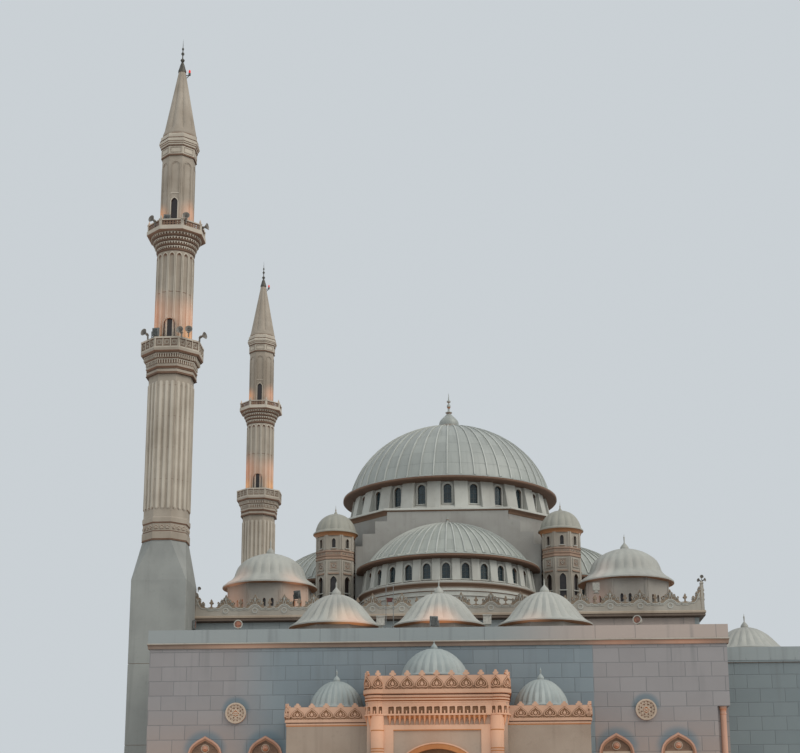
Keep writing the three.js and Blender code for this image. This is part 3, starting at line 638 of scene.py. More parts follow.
def bay(name, face, half_bay, foot, top, window, surround):
    """Wall, surround, pane and bars of one bay. Window is (half width, sill, springing, apex)."""
    half, sill, springing, apex = window
    opening = arch_line(*window)
    wall = cut_slab(name + "_wall", face, 0.3, block_line(-half_bay, half_bay, foot, top), opening)
    outer = arch_line(half + surround, sill, springing, apex + surround, 8)
    frame = cut_slab(name + "_surround", face - 0.035, 0.06, outer, opening)
    inner_edge = cut_slab(
        name + "_rebate", face - 0.055, 0.04, arch_line(half + 0.045, sill, springing, apex + 0.045),
        opening
    )
    ledge = block(name + "_sill", face - 0.1, 0.16, -half - surround, half + surround, sill - 0.07, sill)
    pane = cut_slab(name + "_pane", face + 0.1, 0.02, arch_line(
        half + 0.03, sill - 0.03, springing, apex + 0.03
    ))
    stile = block(name + "_bars", face + 0.08, 0.03, -0.015, 0.015, sill, apex)
    thirds = [sill + (springing - sill) * i / 3 for i in (1, 2, 3)]
    rails = [block(name + "_rail", face + 0.08, 0.03, -half, half, z - 0.012, z + 0.012) for z in thirds]
    return [
        wall,
        joined(name + "_surround", [frame, inner_edge, ledge]), pane,
        joined(name + "_bars", [stile, *rails])
    ]


def pier(name, width, root, top, foot):
    """A pier that slopes out to its foot. Top and foot are (radius, height)."""
    side = [(-root, top[1]), (-top[0], top[1]), (-foot[0], foot[1]), (-root, foot[1])]
    made = traced(name, [(-width / 2, y, z) for y, z in [*side, side[0]]])
    bpy.ops.mesh.edge_face_add()
    extrude(width, 0, 0)
    close_up()
    hold(made)
    edge = made.modifiers.new("worn_edge", "BEVEL")
    edge.width, edge.segments = 0.018, 1
    bpy.ops.object.modifier_apply(modifier="worn_edge")
    return made


drum_bays, drum_face, round_sides = 24, 6.42, 96
drum_pitch = 360 / drum_bays
drum_parts = bay(
    "drum", -drum_face,
    drum_face * math.tan(math.radians(drum_pitch / 2)) + 0.01, 24.66, 26.56, (0.255, 25.1, 26.13, 26.385),
    0.13
)
drum_pier = shifted(pier("drum_piers", 0.87, 6.2, (6.56, 26.56), (6.95, 24.64)), turn=drum_pitch / 2)
for part, finish in zip(drum_parts, (pale_cast, limewashed, glass, bars)):
    settle(spread(part, drum_bays, drum_pitch), finish, *(["main_drum"] if finish is pale_cast else []))
settle(spread(drum_pier, drum_bays, drum_pitch), limewashed)
drum_foot = turned("drum_foot", [
    (6.3, 24.62), (6.99, 24.62), (6.99, 24.7), (6.94, 24.74), (6.62, 24.96), (6.55, 25.0), (6.3, 25.0)
], round_sides)
settle(drum_foot, limewashed, smooth=30)

# MAIN DOME
# A concrete shell covered with pale grey-green painted sheet. Forty-eight raised battens run up it, painted
# lighter as highlight, and the sheet is lapped at cross seams. The eave has a white drip edge over a cavetto
# painted brown as shade.


def dome_sheet(name, centre, gores, seam_rise, light, dark, under):
    """Painted sheet in strips up a dome: each length a little different, with run-off and lapped seams."""
    material, shader, place, facing = new_finish(name, 0.5)
    shader.inputs["Metallic"].default_value = 0.1
    x, y, z = place.axes()
    east, south, up = x - centre[0], centre[1] - y, z - centre[2]
    bearing = east.maths("ARCTAN2", south)
    level = (east * east + south * south).maths("SQRT")
    climb = up.maths("ARCTAN2", level)
    strip = (bearing / (2 * math.pi / gores)).maths("FLOOR")
    length = climb / math.radians(seam_rise)
    which = x.node("CombineXYZ", {}, {0: strip, 1: length.maths("FLOOR")})
    lottery = which.node("TexWhiteNoise", {"noise_dimensions": "2D"}, {"Vector": which})
    run = x.node("CombineXYZ", {}, {0: bearing * 26, 1: climb * 2.2})
    run_off = run.node("TexNoise", {}, {"Vector": run, "Scale": 1.0, "Detail": 4, "Roughness": 0.6})
    shade_ring = speckle(place, 1.6, 4)
    sheet = (lottery * 0.35 + shade_ring * 0.75).between(0.15, 0.95).blend(light, dark)
    sheet = (run_off.between(0.5, 0.78) * 0.4).blend(sheet, shaded(dark, 0.6))
    seam = abs(length % 1 - 0.5).between(0.475, 0.495)
    sheet = (seam * 0.3).blend(sheet, shaded(dark, 0.5))
    # Painted shade: faces that point down turn to the under colour.
    hanging = facing.axes()[2].between(-0.04, -0.35)
    sheet = hanging.blend(sheet, under)
    dress(shader, Base_Color=sheet, Roughness=run_off * 0.3 + 0.32, Relief=(1 - seam + shade_ring * 0.3, 0.008))
    return material


# Painted shade: the brown that undersides of the dome sheets turn to.
eave_underside_shade = tone(148, 104, 78)
main_sheet = dome_sheet(
    "main_dome_sheet", (0, 0, 25.9), 48, 8, tone(160, 163, 157), tone(142, 145, 140), eave_underside_shade
)
# Painted highlight: the battens are a paler copy of the sheet, standing for the light they catch.
batten_highlight = cast_stone("battens_painted_highlight", (182, 184, 177), (162, 164, 158), (150, 150, 142), 0.55)


def dome_arc(radius, rise, centre, low, steps):
    """Points of a dome from the height low up to its crown: part of an ellipse of this radius and rise."""
    start = math.asin((low - centre) / rise)
    return [*arc(0, centre, radius, rise, start, math.pi / 2, steps)[:-1], (0, centre + rise)]


def thickened(sheet, thickness):
    """Ends edit mode, and makes the sheet solid by half the thickness to each side."""
    bpy.ops.mesh.select_all(action="SELECT")
    bpy.ops.mesh.normals_make_consistent(inside=False)
    bpy.ops.object.mode_set(mode="OBJECT")
    thick = sheet.modifiers.new("thickness", "SOLIDIFY")
    thick.thickness, thick.offset = thickness, 0
    bpy.ops.object.modifier_apply(modifier="thickness")
    return sheet


def battens(name, line, width, height):
    """A batten that lies on a dome along its line of (radius, height), facing -Y."""
    strip = traced(name, [(-width / 2, -radius, z) for radius, z in line])
    extrude(width, 0, 0)
    return thickened(strip, 2 * height)


main_curve = dome_arc(6.85, 5.93, 25.9, 26.96, 18)
main_eave = [(0, 26.7), (7.2, 26.71), (7.24, 26.74), (7.24, 26.79), (7.2, 26.81), (6.95, 26.86), (6.8, 26.9)]
eave_round = turned("main_eave_moulding", [
    (6.4, 26.54), (7.12, 26.55), (7.21, 26.58), (7.25, 26.63), (7.25, 26.68), (7.2, 26.73), (6.4, 26.73)
], round_sides)
settle(eave_round, brown_shade_stone, slot="dome_covering", smooth=40)
settle(
    turned("main_dome_shell", [*main_eave, *main_curve], round_sides), main_sheet, "main_dome",
    slot="dome_covering", smooth=28
)
main_ribs = battens("main_dome_battens", [
    (6.98, 26.86), (6.8, 26.91), *main_curve[:-1],
    (0.35, main_curve[-1][1] - 0.01)
], 0.075, 0.06)
settle(spread(main_ribs, 48, 7.5), batten_highlight, slot="dome_covering")

# MAIN FINIAL
# A spun metal finial painted as the dome is stands on the crown of the main dome: an onion-shaped foot,
# a rod with discs and balls, and a spike.
finial_foot = [
    (0, 31.6), (0.56, 31.6), (0.62, 31.85), (0.66, 32.02), (0.68, 32.2), (0.67, 32.33), (0.62, 32.45),
    (0.52, 32.57), (0.4, 32.7), (0.27, 32.83), (0.17, 32.95), (0.13, 33.0), (0.14, 33.02), (0.23, 33.04),
    (0.23, 33.09), (0.13, 33.12), (0.08, 33.18), (0.07, 33.32)
]
finial_top = [
    (0.08, 33.38), (0.12, 33.44), (0.13, 33.52), (0.12, 33.6), (0.07, 33.66), (0.05, 33.74), (0.06, 33.8),
    (0.13, 33.83), (0.14, 33.88), (0.12, 33.92), (0.05, 33.96), (0.035, 34.1), (0.02, 34.35), (0, 34.5)
]
settle(turned("main_finial", [*finial_foot, *finial_top], 24), main_sheet, slot="dome_covering", smooth=50)

# HALF DOMES
# On each side of the central block stands a curved wall with thirteen windows and a half dome of battened
# sheet, built as the main dome is. Ledges of cast stone run round the wall below the windows.
half_pitch, half_bays, half_face, gable_face = 180 / 14, 13, 5.16, 7.2
half_curve = dome_arc(6.17, 6.17, 17.29, 20.72, 12)
half_eave = [
    (0, 20.46), (5.7, 20.47), (5.74, 20.5), (5.74, 20.55), (5.7, 20.57), (5.45, 20.63), (5.28, 20.68)
]


def keep_front(piece):
    """Cuts away what lies behind y = 0 and closes the cut."""
    hold(piece)
    bpy.ops.object.mode_set(mode="EDIT")
    bpy.ops.mesh.select_all(action="SELECT")
    bpy.ops.mesh.bisect(plane_co=(0, 0, 0), plane_no=(0, 1, 0), use_fill=True, clear_outer=True)
    close_up()
    return piece


half_parts = [
    (keep_front(turned("half_dome_shell", [*half_eave, *half_curve], 112)), "sheet", 28),
    (keep_front(turned("half_dome_moulding", [
        (4.9, 20.29), (5.62, 20.3), (5.71, 20.33), (5.75, 20.38), (5.75, 20.43), (5.7, 20.48), (4.9, 20.48)
    ], 112)), brown_shade_stone, 40),
    (spread(battens("half_dome_battens", [
        (5.5, 20.62), (5.3, 20.69), *half_curve[:-1],
        (0.3, half_curve[-1][1] - 0.01)
    ], 0.07, 0.055), 29, 180 / 28), batten_highlight, None),
    (turned("half_dome_spike", [
        (0, 23.5), (0.16, 23.5), (0.15, 23.62), (0.06, 23.72), (0.05, 23.8), (0.09, 23.84), (0.05, 23.9),
        (0.02, 24.05), (0, 24.3)
    ], 12), "sheet", 50),
    (keep_front(turned("half_dome_ledges", [
        (4.7, 16.3), (5.5, 16.3), (5.5, 17.98), (5.56, 18.0), (5.56, 18.08), (5.5, 18.1), (5.5, 18.26),
        (5.56, 18.3), (5.56, 18.36), (5.47, 18.4), (5.47, 18.46), (5.4, 18.5), (5.42, 18.58), (5.5, 18.66),
        (5.6, 18.72), (5.62, 18.76), (5.62, 18.86), (5.55, 18.9), (5.2, 18.98), (4.7, 18.98)
    ], 112)), limewashed, 30),
    (shifted(spread(pier(
        "half_dome_piers", 0.5, 5.0, (5.26, 20.3), (5.46, 18.94)
    ), 14, half_pitch)), limewashed, None)
]
half_bay = bay(
    "half_dome", -half_face,
    half_face * math.tan(math.radians(half_pitch / 2)) + 0.01, 18.9, 20.3, (0.24, 19.08, 19.76, 20.04), 0.12
)
for part, finish in zip(half_bay, (pale_cast, limewashed, glass, bars)):
    half_parts.append((spread(part, half_bays, half_pitch), finish, None))
quarter_turns = {"front": (0, 0, 1), "right": (90, 1, 0), "back": (180, 0, -1), "left": (-90, -1, 0)}
for side, (turn, east, south) in quarter_turns.items():
    centre = (east * gable_face, -south * gable_face, 0)
    sheet = dome_sheet(
        side + "_half_dome_sheet", (*centre[:2], 17.29), 56, 9, tone(160, 163, 155), tone(142, 145, 138),
        eave_underside_shade
    )
    for part, finish, smooth in half_parts:
        copy = copied(part, side + "_" + part.name, centre, turn)
        stands_for = {
            "half_dome_shell": ["half_dome"], "half_dome_wall": ["half_dome_wall"]
        }.get(part.name, [])
        on_roof = part.name in ("half_dome_shell", "half_dome_battens", "half_dome_spike")
        settle(copy, sheet if finish == "sheet" else finish, *[side + "_" + node for node in stands_for],
               slot="dome_covering" if on_roof else "carved_stone", smooth=smooth)


def drop_patterns(pieces):
    """Deletes the pieces that copies were made from."""
    drop_selection()
    for piece in pieces:
        piece.select_set(True)
    bpy.ops.object.delete()


drop_patterns([part for part, _, _ in half_parts])

# CORNER TURRETS
# Eight-sided turrets of carved stone over the corners of the central block. Each face has a tall pointed
# window with a bar, a carved panel, a band of running scrolls and a small window under the eave.
flats, half_flat = 1 / math.cos(math.pi / 8), math.tan(math.pi / 8)
turret_sheet = cast_stone("turret_dome_sheet", (156, 154, 142), (140, 138, 128), (152, 104, 68), 0.6)
turret_brown = cast_stone("turret_moulding_stone", (164, 138, 120), (142, 119, 102), (120, 92, 74))
dark_glass = smooth_finish("shaded_glass", (44, 34, 32), (26, 22, 22), (0.3, 4), (0.3, 0.75), (0.2, 0.5))


def octagon(name, profile):
    """An eight-sided solid with a flat side to the front. Its profile is (distance to the side, height)."""
    return turned(name, [(apothem * flats, z) for apothem, z in profile], 8, 0.5)


def on_each_side(name, pieces):
    """One mesh of the pieces on the front of an eight-sided part and on its seven other sides."""
    return spread(joined(name, pieces), 8, 45)


def ribbon(name, line, face, proud, width, back=0.01):
    """A raised moulding on a wall along a line of (x, z). It reaches back metres behind the face."""
    band = traced(name, [(x, face + back, z) for x, z in line])
    extrude(0, -proud - back, 0)
    return thickened(band, width)


def scroll(name, x, z, radius, hand, face, proud=0.03, back=0.01):
    """A flat spiral moulding on a wall, wound to the right with hand 1 and to the left with hand -1."""
    line = []
    for i in range(10):
        angle, reach = math.radians(430 * i / 9 - 40), radius * (1 - 0.85 * i / 9)
        line.append((x + hand * reach * math.cos(angle), z + reach * math.sin(angle)))
    return ribbon(name, line, face, proud, radius * 0.22, back)


def rosette(name, x, face, z, radius, petals=8, proud=0.04):
    """A carved flower: a disc whose rim runs in and out in petals, with a domed eye."""
    flower = turned(name, [
        (0, -0.02), (radius, -0.02), (radius, proud * 0.5), (radius * 0.8, proud),
        (radius * 0.45, proud * 0.35), (radius * 0.3, proud * 0.4), (radius * 0.26, proud * 1.1),
        (0, proud * 1.3)
    ], petals * 2)
    bpy.ops.object.mode_set(mode="EDIT")
    select_where(
        lambda v: math.hypot(v.co.x, v.co.y) > radius * 0.4
        and round(math.atan2(v.co.x, v.co.y) / math.pi * petals) % 2 == 1
    )
    bpy.ops.transform.resize(value=(0.78, 0.78, 1), center_override=(0, 0, 0))
    bpy.ops.object.mode_set(mode="OBJECT")
    return shifted(flower, (x, face, z), lean=90)


def select_where(wanted):
    """Selects the vertices in edit mode that pass a test."""
    bpy.ops.mesh.select_mode(type="VERT")
    bpy.ops.mesh.select_all(action="DESELECT")
    drawn = bmesh.from_edit_mesh(bpy.context.edit_object.data)
    for vertex in drawn.verts:
        vertex.select_set(bool(wanted(vertex)))
    drawn.select_flush_mode()
    bmesh.update_edit_mesh(bpy.context.edit_object.data)


def slab(name, face, proud, left, right, bottom, top):
    """A plain raised strip or ledge on a wall that faces the front."""
    return block(name, face - proud, proud + 0.03, left, right, bottom, top)


def frame_slab(name, face, proud, left, right, bottom, top, rim):
    return cut_slab(
        name, face - proud, proud + 0.03, block_line(left, right, bottom, top),
        block_line(left + rim, right - rim, bottom + rim, top - rim)
    )


turret_face, turret_half = -1.15, 1.15 * half_flat
low_window, high_window = arch_line(0.205, 18.5, 19.8, 20.12), arch_line(0.115, 21.94, 22.36, 22.52, 4)
turret_walls = [
    cut_slab(
        "face", turret_face, 0.2, block_line(-turret_half, turret_half, 16.25, 22.78), low_window,
        high_window
    ),
    frame_slab("panel_frame", turret_face, 0.05, -0.29, 0.29, 20.5, 21.08, 0.06),
    frame_slab("panel_line", turret_face, 0.03, -0.2, 0.2, 20.59, 20.99, 0.03),
    rosette("panel_flower", 0, turret_face - 0.01, 20.79, 0.15),
    cut_slab("low_surround", turret_face - 0.03, 0.06, arch_line(0.26, 18.5, 19.8, 20.19), low_window),
    cut_slab(
        "high_surround", turret_face - 0.035, 0.06, arch_line(0.16, 21.94, 22.36, 22.58, 4), high_window
    )
]
for side in (-1, 1):
    for edge, broad, proud in ((turret_half - 0.055, 0.05, 0.04), (turret_half - 0.135, 0.018, 0.025)):
        turret_walls += [
            slab("strip", turret_face, proud, side * edge - broad, side * edge + broad, low, high)
            for low, high in ((16.3, 21.14), (21.8, 22.74))
        ]
turret_walls += [
    scroll("scroll", x, 21.555, 0.085, hand, turret_face)
    for x, hand in ((-0.36, 1), (-0.12, -1), (0.12, 1), (0.36, -1))
]
turret_trims = [
    slab("bar", turret_face, 0.06, -0.27, 0.27, 19.02, 19.08),
    slab("low_sill", turret_face, 0.09, -0.28, 0.28, 18.42, 18.5),
    slab("high_sill", turret_face, 0.07, -0.19, 0.19, 21.87, 21.92),
]
# Browner pieces: the panel ledge, the sunk panel field and the corbel under the high sill.
turret_brown_pieces = [
    slab("panel_ledge", turret_face, 0.08, -0.33, 0.33, 20.24, 20.32),
    slab("panel_field", turret_face, 0.012, -0.24, 0.24, 20.55, 21.03),
    slab("high_corbel", turret_face, 0.05, -0.15, 0.15, 21.82, 21.87)
]
turret_panes = [
    cut_slab("pane", turret_face + 0.1, 0.02, arch_line(0.23, 18.47, 19.8, 20.15)),
    cut_slab("pane", turret_face + 0.1, 0.02, arch_line(0.13, 21.92, 22.36, 22.54, 4))
]
turret_parts = [
    (on_each_side("turret_" + what, pieces), finish)
    for what, pieces, finish in (
        ("walls", turret_walls, carved), ("sills", turret_trims, limewashed),
        ("ledges", turret_brown_pieces, turret_brown), ("panes", turret_panes, dark_glass)
    )
]
turret_parts.append((octagon("turret_mouldings", [
    (0.95, 21.18), (1.16, 21.18), (1.2, 21.2), (1.2, 21.27), (1.155, 21.3), (1.155, 21.38), (1.2, 21.4),
    (1.2, 21.45), (1.155, 21.46), (1.155, 21.66), (1.2, 21.68), (1.2, 21.75), (1.16, 21.78), (0.95, 21.78)
]), turret_brown))



def fluted(piece, count, depth, reaches, shares=(1.0, 0.45, 0.12), turn=0.0):
    """Draws in the joints between gores, or flutes: columns of vertices, each by its share of depth, where
    reaches(height, column) says. A gore faces the front at turn 0, and a flute at 0.5."""
    step = round_sides // count
    hold(piece)
    bpy.ops.object.mode_set(mode="EDIT")
    for column, share in enumerate(shares):
        factor = 1 - depth * share
        select_where(
            lambda v: reaches(v.co.z, column)
            and abs(
                abs((math.atan2(v.co.x, -v.co.y) / (2 * math.pi) * count + turn) % 1 - 0.5) * step - column
            ) < 0.1
        )
        bpy.ops.transform.resize(value=(factor, factor, 1), center_override=(0, 0, 0))
    bpy.ops.object.mode_set(mode="OBJECT")
    return piece


turret_dome = fluted(turned("turret_dome", [
    (0, 22.7), (1.24, 22.7), (1.26, 22.78), (1.31, 22.86), (1.37, 22.92), (1.42, 22.94), (1.42, 23.01),
    (1.38, 23.05), (1.33, 23.09), *dome_arc(1.3, 1.32, 23.0, 23.13, 9)
], round_sides), 16, 0.045, lambda z, column: z > 23.07)
turret_spike = turned("turret_spike", [
    (0, 24.25), (0.12, 24.25), (0.11, 24.36), (0.05, 24.48), (0.03, 24.56), (0.045, 24.6), (0.02, 24.66),
    (0, 24.95)
], 12)
turret_parts += [(turret_dome, turret_sheet), (turret_spike, turret_sheet)]
turret_out = 7.1
corner_places = {"front_left": (-1, -1), "front_right": (1, -1), "back_left": (-1, 1), "back_right": (1, 1)}
for corner, (east, north) in corner_places.items():
    for part, finish in turret_parts:
        settle(copied(part, f"{corner}_{part.name}", (east * turret_out, north * turret_out, 0)), finish,
               *([corner + "_turret"] if part.name == "turret_walls" else []),
               slot="dome_covering" if finish is turret_sheet else "carved_stone",
               smooth=30 if part.name == "turret_dome" else None)
drop_patterns([part for part, _ in turret_parts])

# BELL-SHAPED DOMES
# Domes of cast stone panels painted as the main dome is, with soft gores, a wide thin brim and an onion
# knob with a spike. Four stand over the corners of the hall, three along the porch, three on the portal
# and one over each bay of the wing. Lamps on the roofs light the undersides of their brims.
brim_orange, brim_brown = (232, 146, 92), (164, 116, 86)
bell_sheet = cast_stone("bell_dome_paint", (168, 168, 160), (150, 149, 142), (160, 112, 80), 0.6, (
    ((-4.6, -25.3, 14.9), 1.5, (232, 184, 136)),
    ((-0.1, -25.5, 14.9), 1.4, (218, 168, 138)),
    ((0, -25.5, 14.45), 1.6, brim_orange),
    ((-4.3, -25.2, 14.4), 1.4, brim_orange),
    ((4.6, -25.3, 14.4), 1.2, brim_brown),
    ((-12.6, -12.6, 19.1), 1.5, (190, 142, 118)),
    ((-9.0, -12.8, 19.0), 1.2, (196, 138, 106)),
    ((9.0, -12.8, 19.6), 1.2, (172, 146, 134))
))


def bell_dome(name, outline, neck, knob, centre, node, depth=0.045, sheet=bell_sheet):
    """Outline runs from the brim to the crown. Neck is (radius, height), knob is (radius, foot, tip)."""
    (rim, rim_height), (neck_radius, neck_height) = outline[0], neck
    hollow = (rim - neck_radius) * 0.55 + neck_radius
    edge = 0.02 * rim + 0.02
    shell = turned(name, [
        (0, neck_height), (neck_radius, neck_height),
        (hollow, neck_height + (rim_height - edge - neck_height) * 0.55),
        (rim - edge, rim_height - edge * 1.3), (rim, rim_height - edge), *outline
    ], round_sides)
    fluted(shell, 24, depth, lambda z, column: z > rim_height + 0.02)
    radius, foot, tip = knob
    tall = tip - foot
    top = turned("knob", [
        (0, foot - radius * 0.6), (radius * 0.9, foot - radius * 0.6), (radius * 1.04, foot),
        (radius, foot + radius * 0.35), (radius * 0.72, foot + radius * 0.8),
        (radius * 0.36, foot + radius * 1.2), (radius * 0.16, foot + radius * 1.5),
        (0.03, foot + radius * 1.8), (0.045, foot + tall * 0.75), (0.02, foot + tall * 0.8), (0, tip)
    ], 16)
    settle(shifted(joined(name, [shell, top]), centre), sheet, node, slot="dome_covering", smooth=32)


corner_outline = [
    (2.86, 18.92), (2.78, 19.02), (2.62, 19.14), (2.44, 19.26), (2.28, 19.4), (2.18, 19.54), (2.12, 19.75),
    (2.04, 19.97), (1.92, 20.18), (1.75, 20.37), (1.5, 20.56), (1.2, 20.73), (0.85, 20.87), (0.45, 20.98),
    (0, 21.03)
]
drum_half = 2.4 * half_flat
slots = [arch_line(0.09, 17.42, 17.78, 17.92, 4, x) for x in (-0.47, 0, 0.47)]
drum_stone = cast_stone("corner_drum_stone", (158, 152, 143), (140, 134, 126), (140, 90, 60), 0.85, (
    ((-12.9, -12.4, 17.6), 2.0, (198, 142, 110)), ((-8.6, -12.6, 17.8), 1.9, (204, 140, 100)),
    ((8.6, -12.8, 17.6), 1.7, (178, 140, 124))))
drum_pieces = [cut_slab("face", -2.4, 0.25, block_line(-drum_half, drum_half, 16.25, 18.84), *slots)]
drum_pieces += [
    slab(
        "strip", -2.4, 0.03, side * (drum_half - 0.09) - 0.02, side * (drum_half - 0.09) + 0.02, 16.4, 18.8
    )
    for side in (-1, 1)
]
corner_drum = on_each_side("corner_drum", drum_pieces)
corner_panes = on_each_side("corner_drum_panes", [
    slab("pane", -2.27, 0, x - 0.12, x + 0.12, 17.4, 17.95)
    for x in (-0.47, 0, 0.47)
])
corner_dome_x, corner_dome_y, porch_dome_y, wing_dome_y = 10.7, 10.85, -23.1, -19.6
for corner, (east, north) in corner_places.items():
    centre = (east * corner_dome_x, north * corner_dome_y, 0)
    settle(copied(corner_drum, corner + "_drum", centre), drum_stone)
    settle(copied(corner_panes, corner + "_drum_panes", centre), dark_glass)
    bell_dome(
        corner + "_bell_dome", corner_outline, (2.5, 18.82), (0.25, 21.03, 21.98), centre,
        corner + "_corner_dome"
    )
drop_patterns([corner_drum, corner_panes])

porch_outline = [
    (2.46, 14.5), (2.38, 14.57), (2.22, 14.66), (2.06, 14.79), (1.9, 14.96), (1.68, 15.24), (1.38, 15.6),
    (1.16, 15.82), (0.94, 15.98), (0.7, 16.11), (0.43, 16.2), (0, 16.24)
]
for name, x in (("left", -5.5), ("middle", -0.13), ("right", 5.36)):
    drum = octagon(f"porch_{name}_drum", [(0, 13.2), (2.02, 13.2), (2.02, 14.4), (0, 14.4)])
    settle(shifted(drum, (x, porch_dome_y, 0)), drum_stone)
    bell_dome(
        f"porch_{name}_bell_dome", porch_outline, (2.1, 14.37), (0.24, 16.27, 17.0), (x, porch_dome_y, 0),
        f"porch_{name}_dome", depth=0.075
    )


full_outline = [
    (1.04, 0), (1.0, 0.05), (0.975, 0.12), (0.94, 0.26), (0.88, 0.4), (0.8, 0.53), (0.69, 0.67),
    (0.56, 0.79), (0.42, 0.89), (0.26, 0.96), (0, 1)
]


def full_bell(rim, foot, crown):
    """A rounder outline for the smaller domes, from shares of the rim and of the rise above the foot."""
    return [(across * rim, foot + up * (crown - foot)) for across, up in full_outline]


portal_sheet = cast_stone("portal_dome_paint", (158, 164, 160), (138, 146, 144), (120, 96, 78), 0.6)
for name, x, y, rim, drum_height, foot, crown, tip in (
    ("portal_middle", -0.18, -29.85, 1.61, 10.1, 11.0, 12.38, 12.8),
    ("portal_left", -4.82, -29.62, 1.3, 8.8, 9.6, 10.92, 11.5),
    ("portal_right", 4.82, -29.62, 1.3, 8.8, 9.6, 10.92, 11.5),
):
    neck = rim * 0.82
    side, head = neck * 0.98, foot - 0.08
    drum = octagon(name + "_drum", [(0, drum_height), (side, drum_height), (side, head), (0, head)])
    settle(shifted(drum, (x, y, 0)), drum_stone)
    bell_dome(
        name + "_bell_dome", full_bell(rim, foot, crown), (neck, foot - 0.12), (0.16, crown + 0.02, tip),
        (x, y, 0), name + "_dome", depth=0.06, sheet=portal_sheet
    )
wing_outline = [
    (2.2, 13.5), (2.1, 13.56), (1.95, 13.65), (1.78, 13.78), (1.62, 13.95), (1.42, 14.17), (1.17, 14.4),
    (0.93, 14.56), (0.68, 14.69), (0.4, 14.78), (0, 14.82)
]
for number, name, x in ((1, "first", 16.12), (2, "second", 21.92)):
    drum = octagon(f"wing_{name}_drum", [(0, 12.8), (1.9, 12.8), (1.9, 13.45), (0, 13.45)])
    settle(shifted(drum, (x, wing_dome_y, 0)), drum_stone)
    bell_dome(
        f"wing_{name}_bell_dome", wing_outline, (1.95, 13.4), (0.2, 14.84, 15.6), (x, wing_dome_y, 0),
        f"wing_dome_{number}", depth=0.07
    )

# MINARET FOOT AND LOWER SHAFT
# Two minarets of cast stone stand at the left. The square foot is rendered smooth and turns by a broach into
# an eight-sided shaft, with a carved band at the change. Each face carries three raised ribs.
minaret_x, minaret_out = -15.7, 17.85
foot_half, broach_foot, broach_head, band_apothem, shaft_apothem = 1.55, 17.9, 20.22, 1.23, 1.22
lower_shaft_head, rib_foot, rib_head = 30.0, 22.0, 29.56
tier_light = [
    ((minaret_x + x, side * minaret_out - 0.35, z), reach, colour)
    for side in (-1, 1)
    for x, z, reach, colour in (
        (-1.05, 33.7, 2.0, (212, 118, 66)),
        (1.05, 33.6, 1.8, (216, 132, 86)),
        (-1.0, 32.45, 1.05, (255, 158, 56)),
        (1.0, 32.45, 1.0, (255, 158, 56)),
        (1.0, 40.1, 1.2, (226, 130, 72)),
        (-0.95, 39.9, 1.1, (255, 150, 50))
    )
]
minaret_stone = cast_stone(
    "minaret_cast_stone", (166, 155, 141), (142, 130, 116), (118, 88, 70), 0.85, tier_light
)
# The trim is a paler copy of the minaret stone: partly the lighter stone of the trim, partly painted
# highlight on the raised parts.
minaret_trim = cast_stone(
    "minaret_trim_stone", (190, 180, 165), (168, 157, 142), (122, 92, 74), 0.85, tier_light
)
foot_render = cast_stone("minaret_foot_render", (146, 147, 142), (130, 131, 127), (124, 104, 88))


def square_to_octagon(name):
    """The rendered foot: a square block with worn corners and its broach, which ends eight-sided."""
    worn = 0.03
    inner = foot_half - worn
    foot = traced(name, cut_square(foot_half, inner, 0.02))
    bpy.ops.mesh.edge_face_add()
    line = [(foot_half, 0.02)]
    for joint in (4.4, 8.8, 13.2):
        line += [
            (foot_half, joint), (foot_half - 0.02, joint + 0.02), (foot_half - 0.02, joint + 0.05),
            (foot_half, joint + 0.07)
        ]
    draw_out([*line, (foot_half, broach_foot), (foot_half - 0.001, broach_head)])
    corner = band_apothem * half_flat
    for front_side in (True, False):
        select_where(lambda v: v.co.z > broach_head - 0.01 and (abs(v.co.y) > abs(v.co.x)) == front_side)
        narrow, near = corner / inner, band_apothem / foot_half
        bpy.ops.transform.resize(
            value=(narrow, near, 1) if front_side else (near, narrow, 1), center_override=(0, 0, 0)
        )
    select_where(lambda v: v.co.z > broach_head - 0.01)
    bpy.ops.mesh.edge_face_add()
    close_up()
    return foot


def ring_line(apothem, low, high, inner):
    """Profile of a ring with softened edges round a minaret."""
    soft = (high - low) * 0.25
    return [
        (inner, low), (apothem - soft, low), (apothem, low + soft), (apothem, high - soft),
        (apothem - soft, high), (inner, high)
    ]


# Rings of painted shade: thin brown rings that stand for the shade lines under the minaret's mouldings.
def shade_rings(name, rings, inner=1.0):
    """Thin rings round a minaret in one mesh, each (distance to its side, underside, top)."""
    return joined(name, [octagon("shade_ring", ring_line(*ring, inner)) for ring in rings])


def round_ended(x, low, high, half):
    """Outline of an upright strip with half-round ends."""
    bend = arc(0, 0, half, half, 0, math.pi, 4)
    return [
        *[(x - across, low + half - up) for across, up in bend],
        *[(x + across, high - half + up) for across, up in bend]
    ]


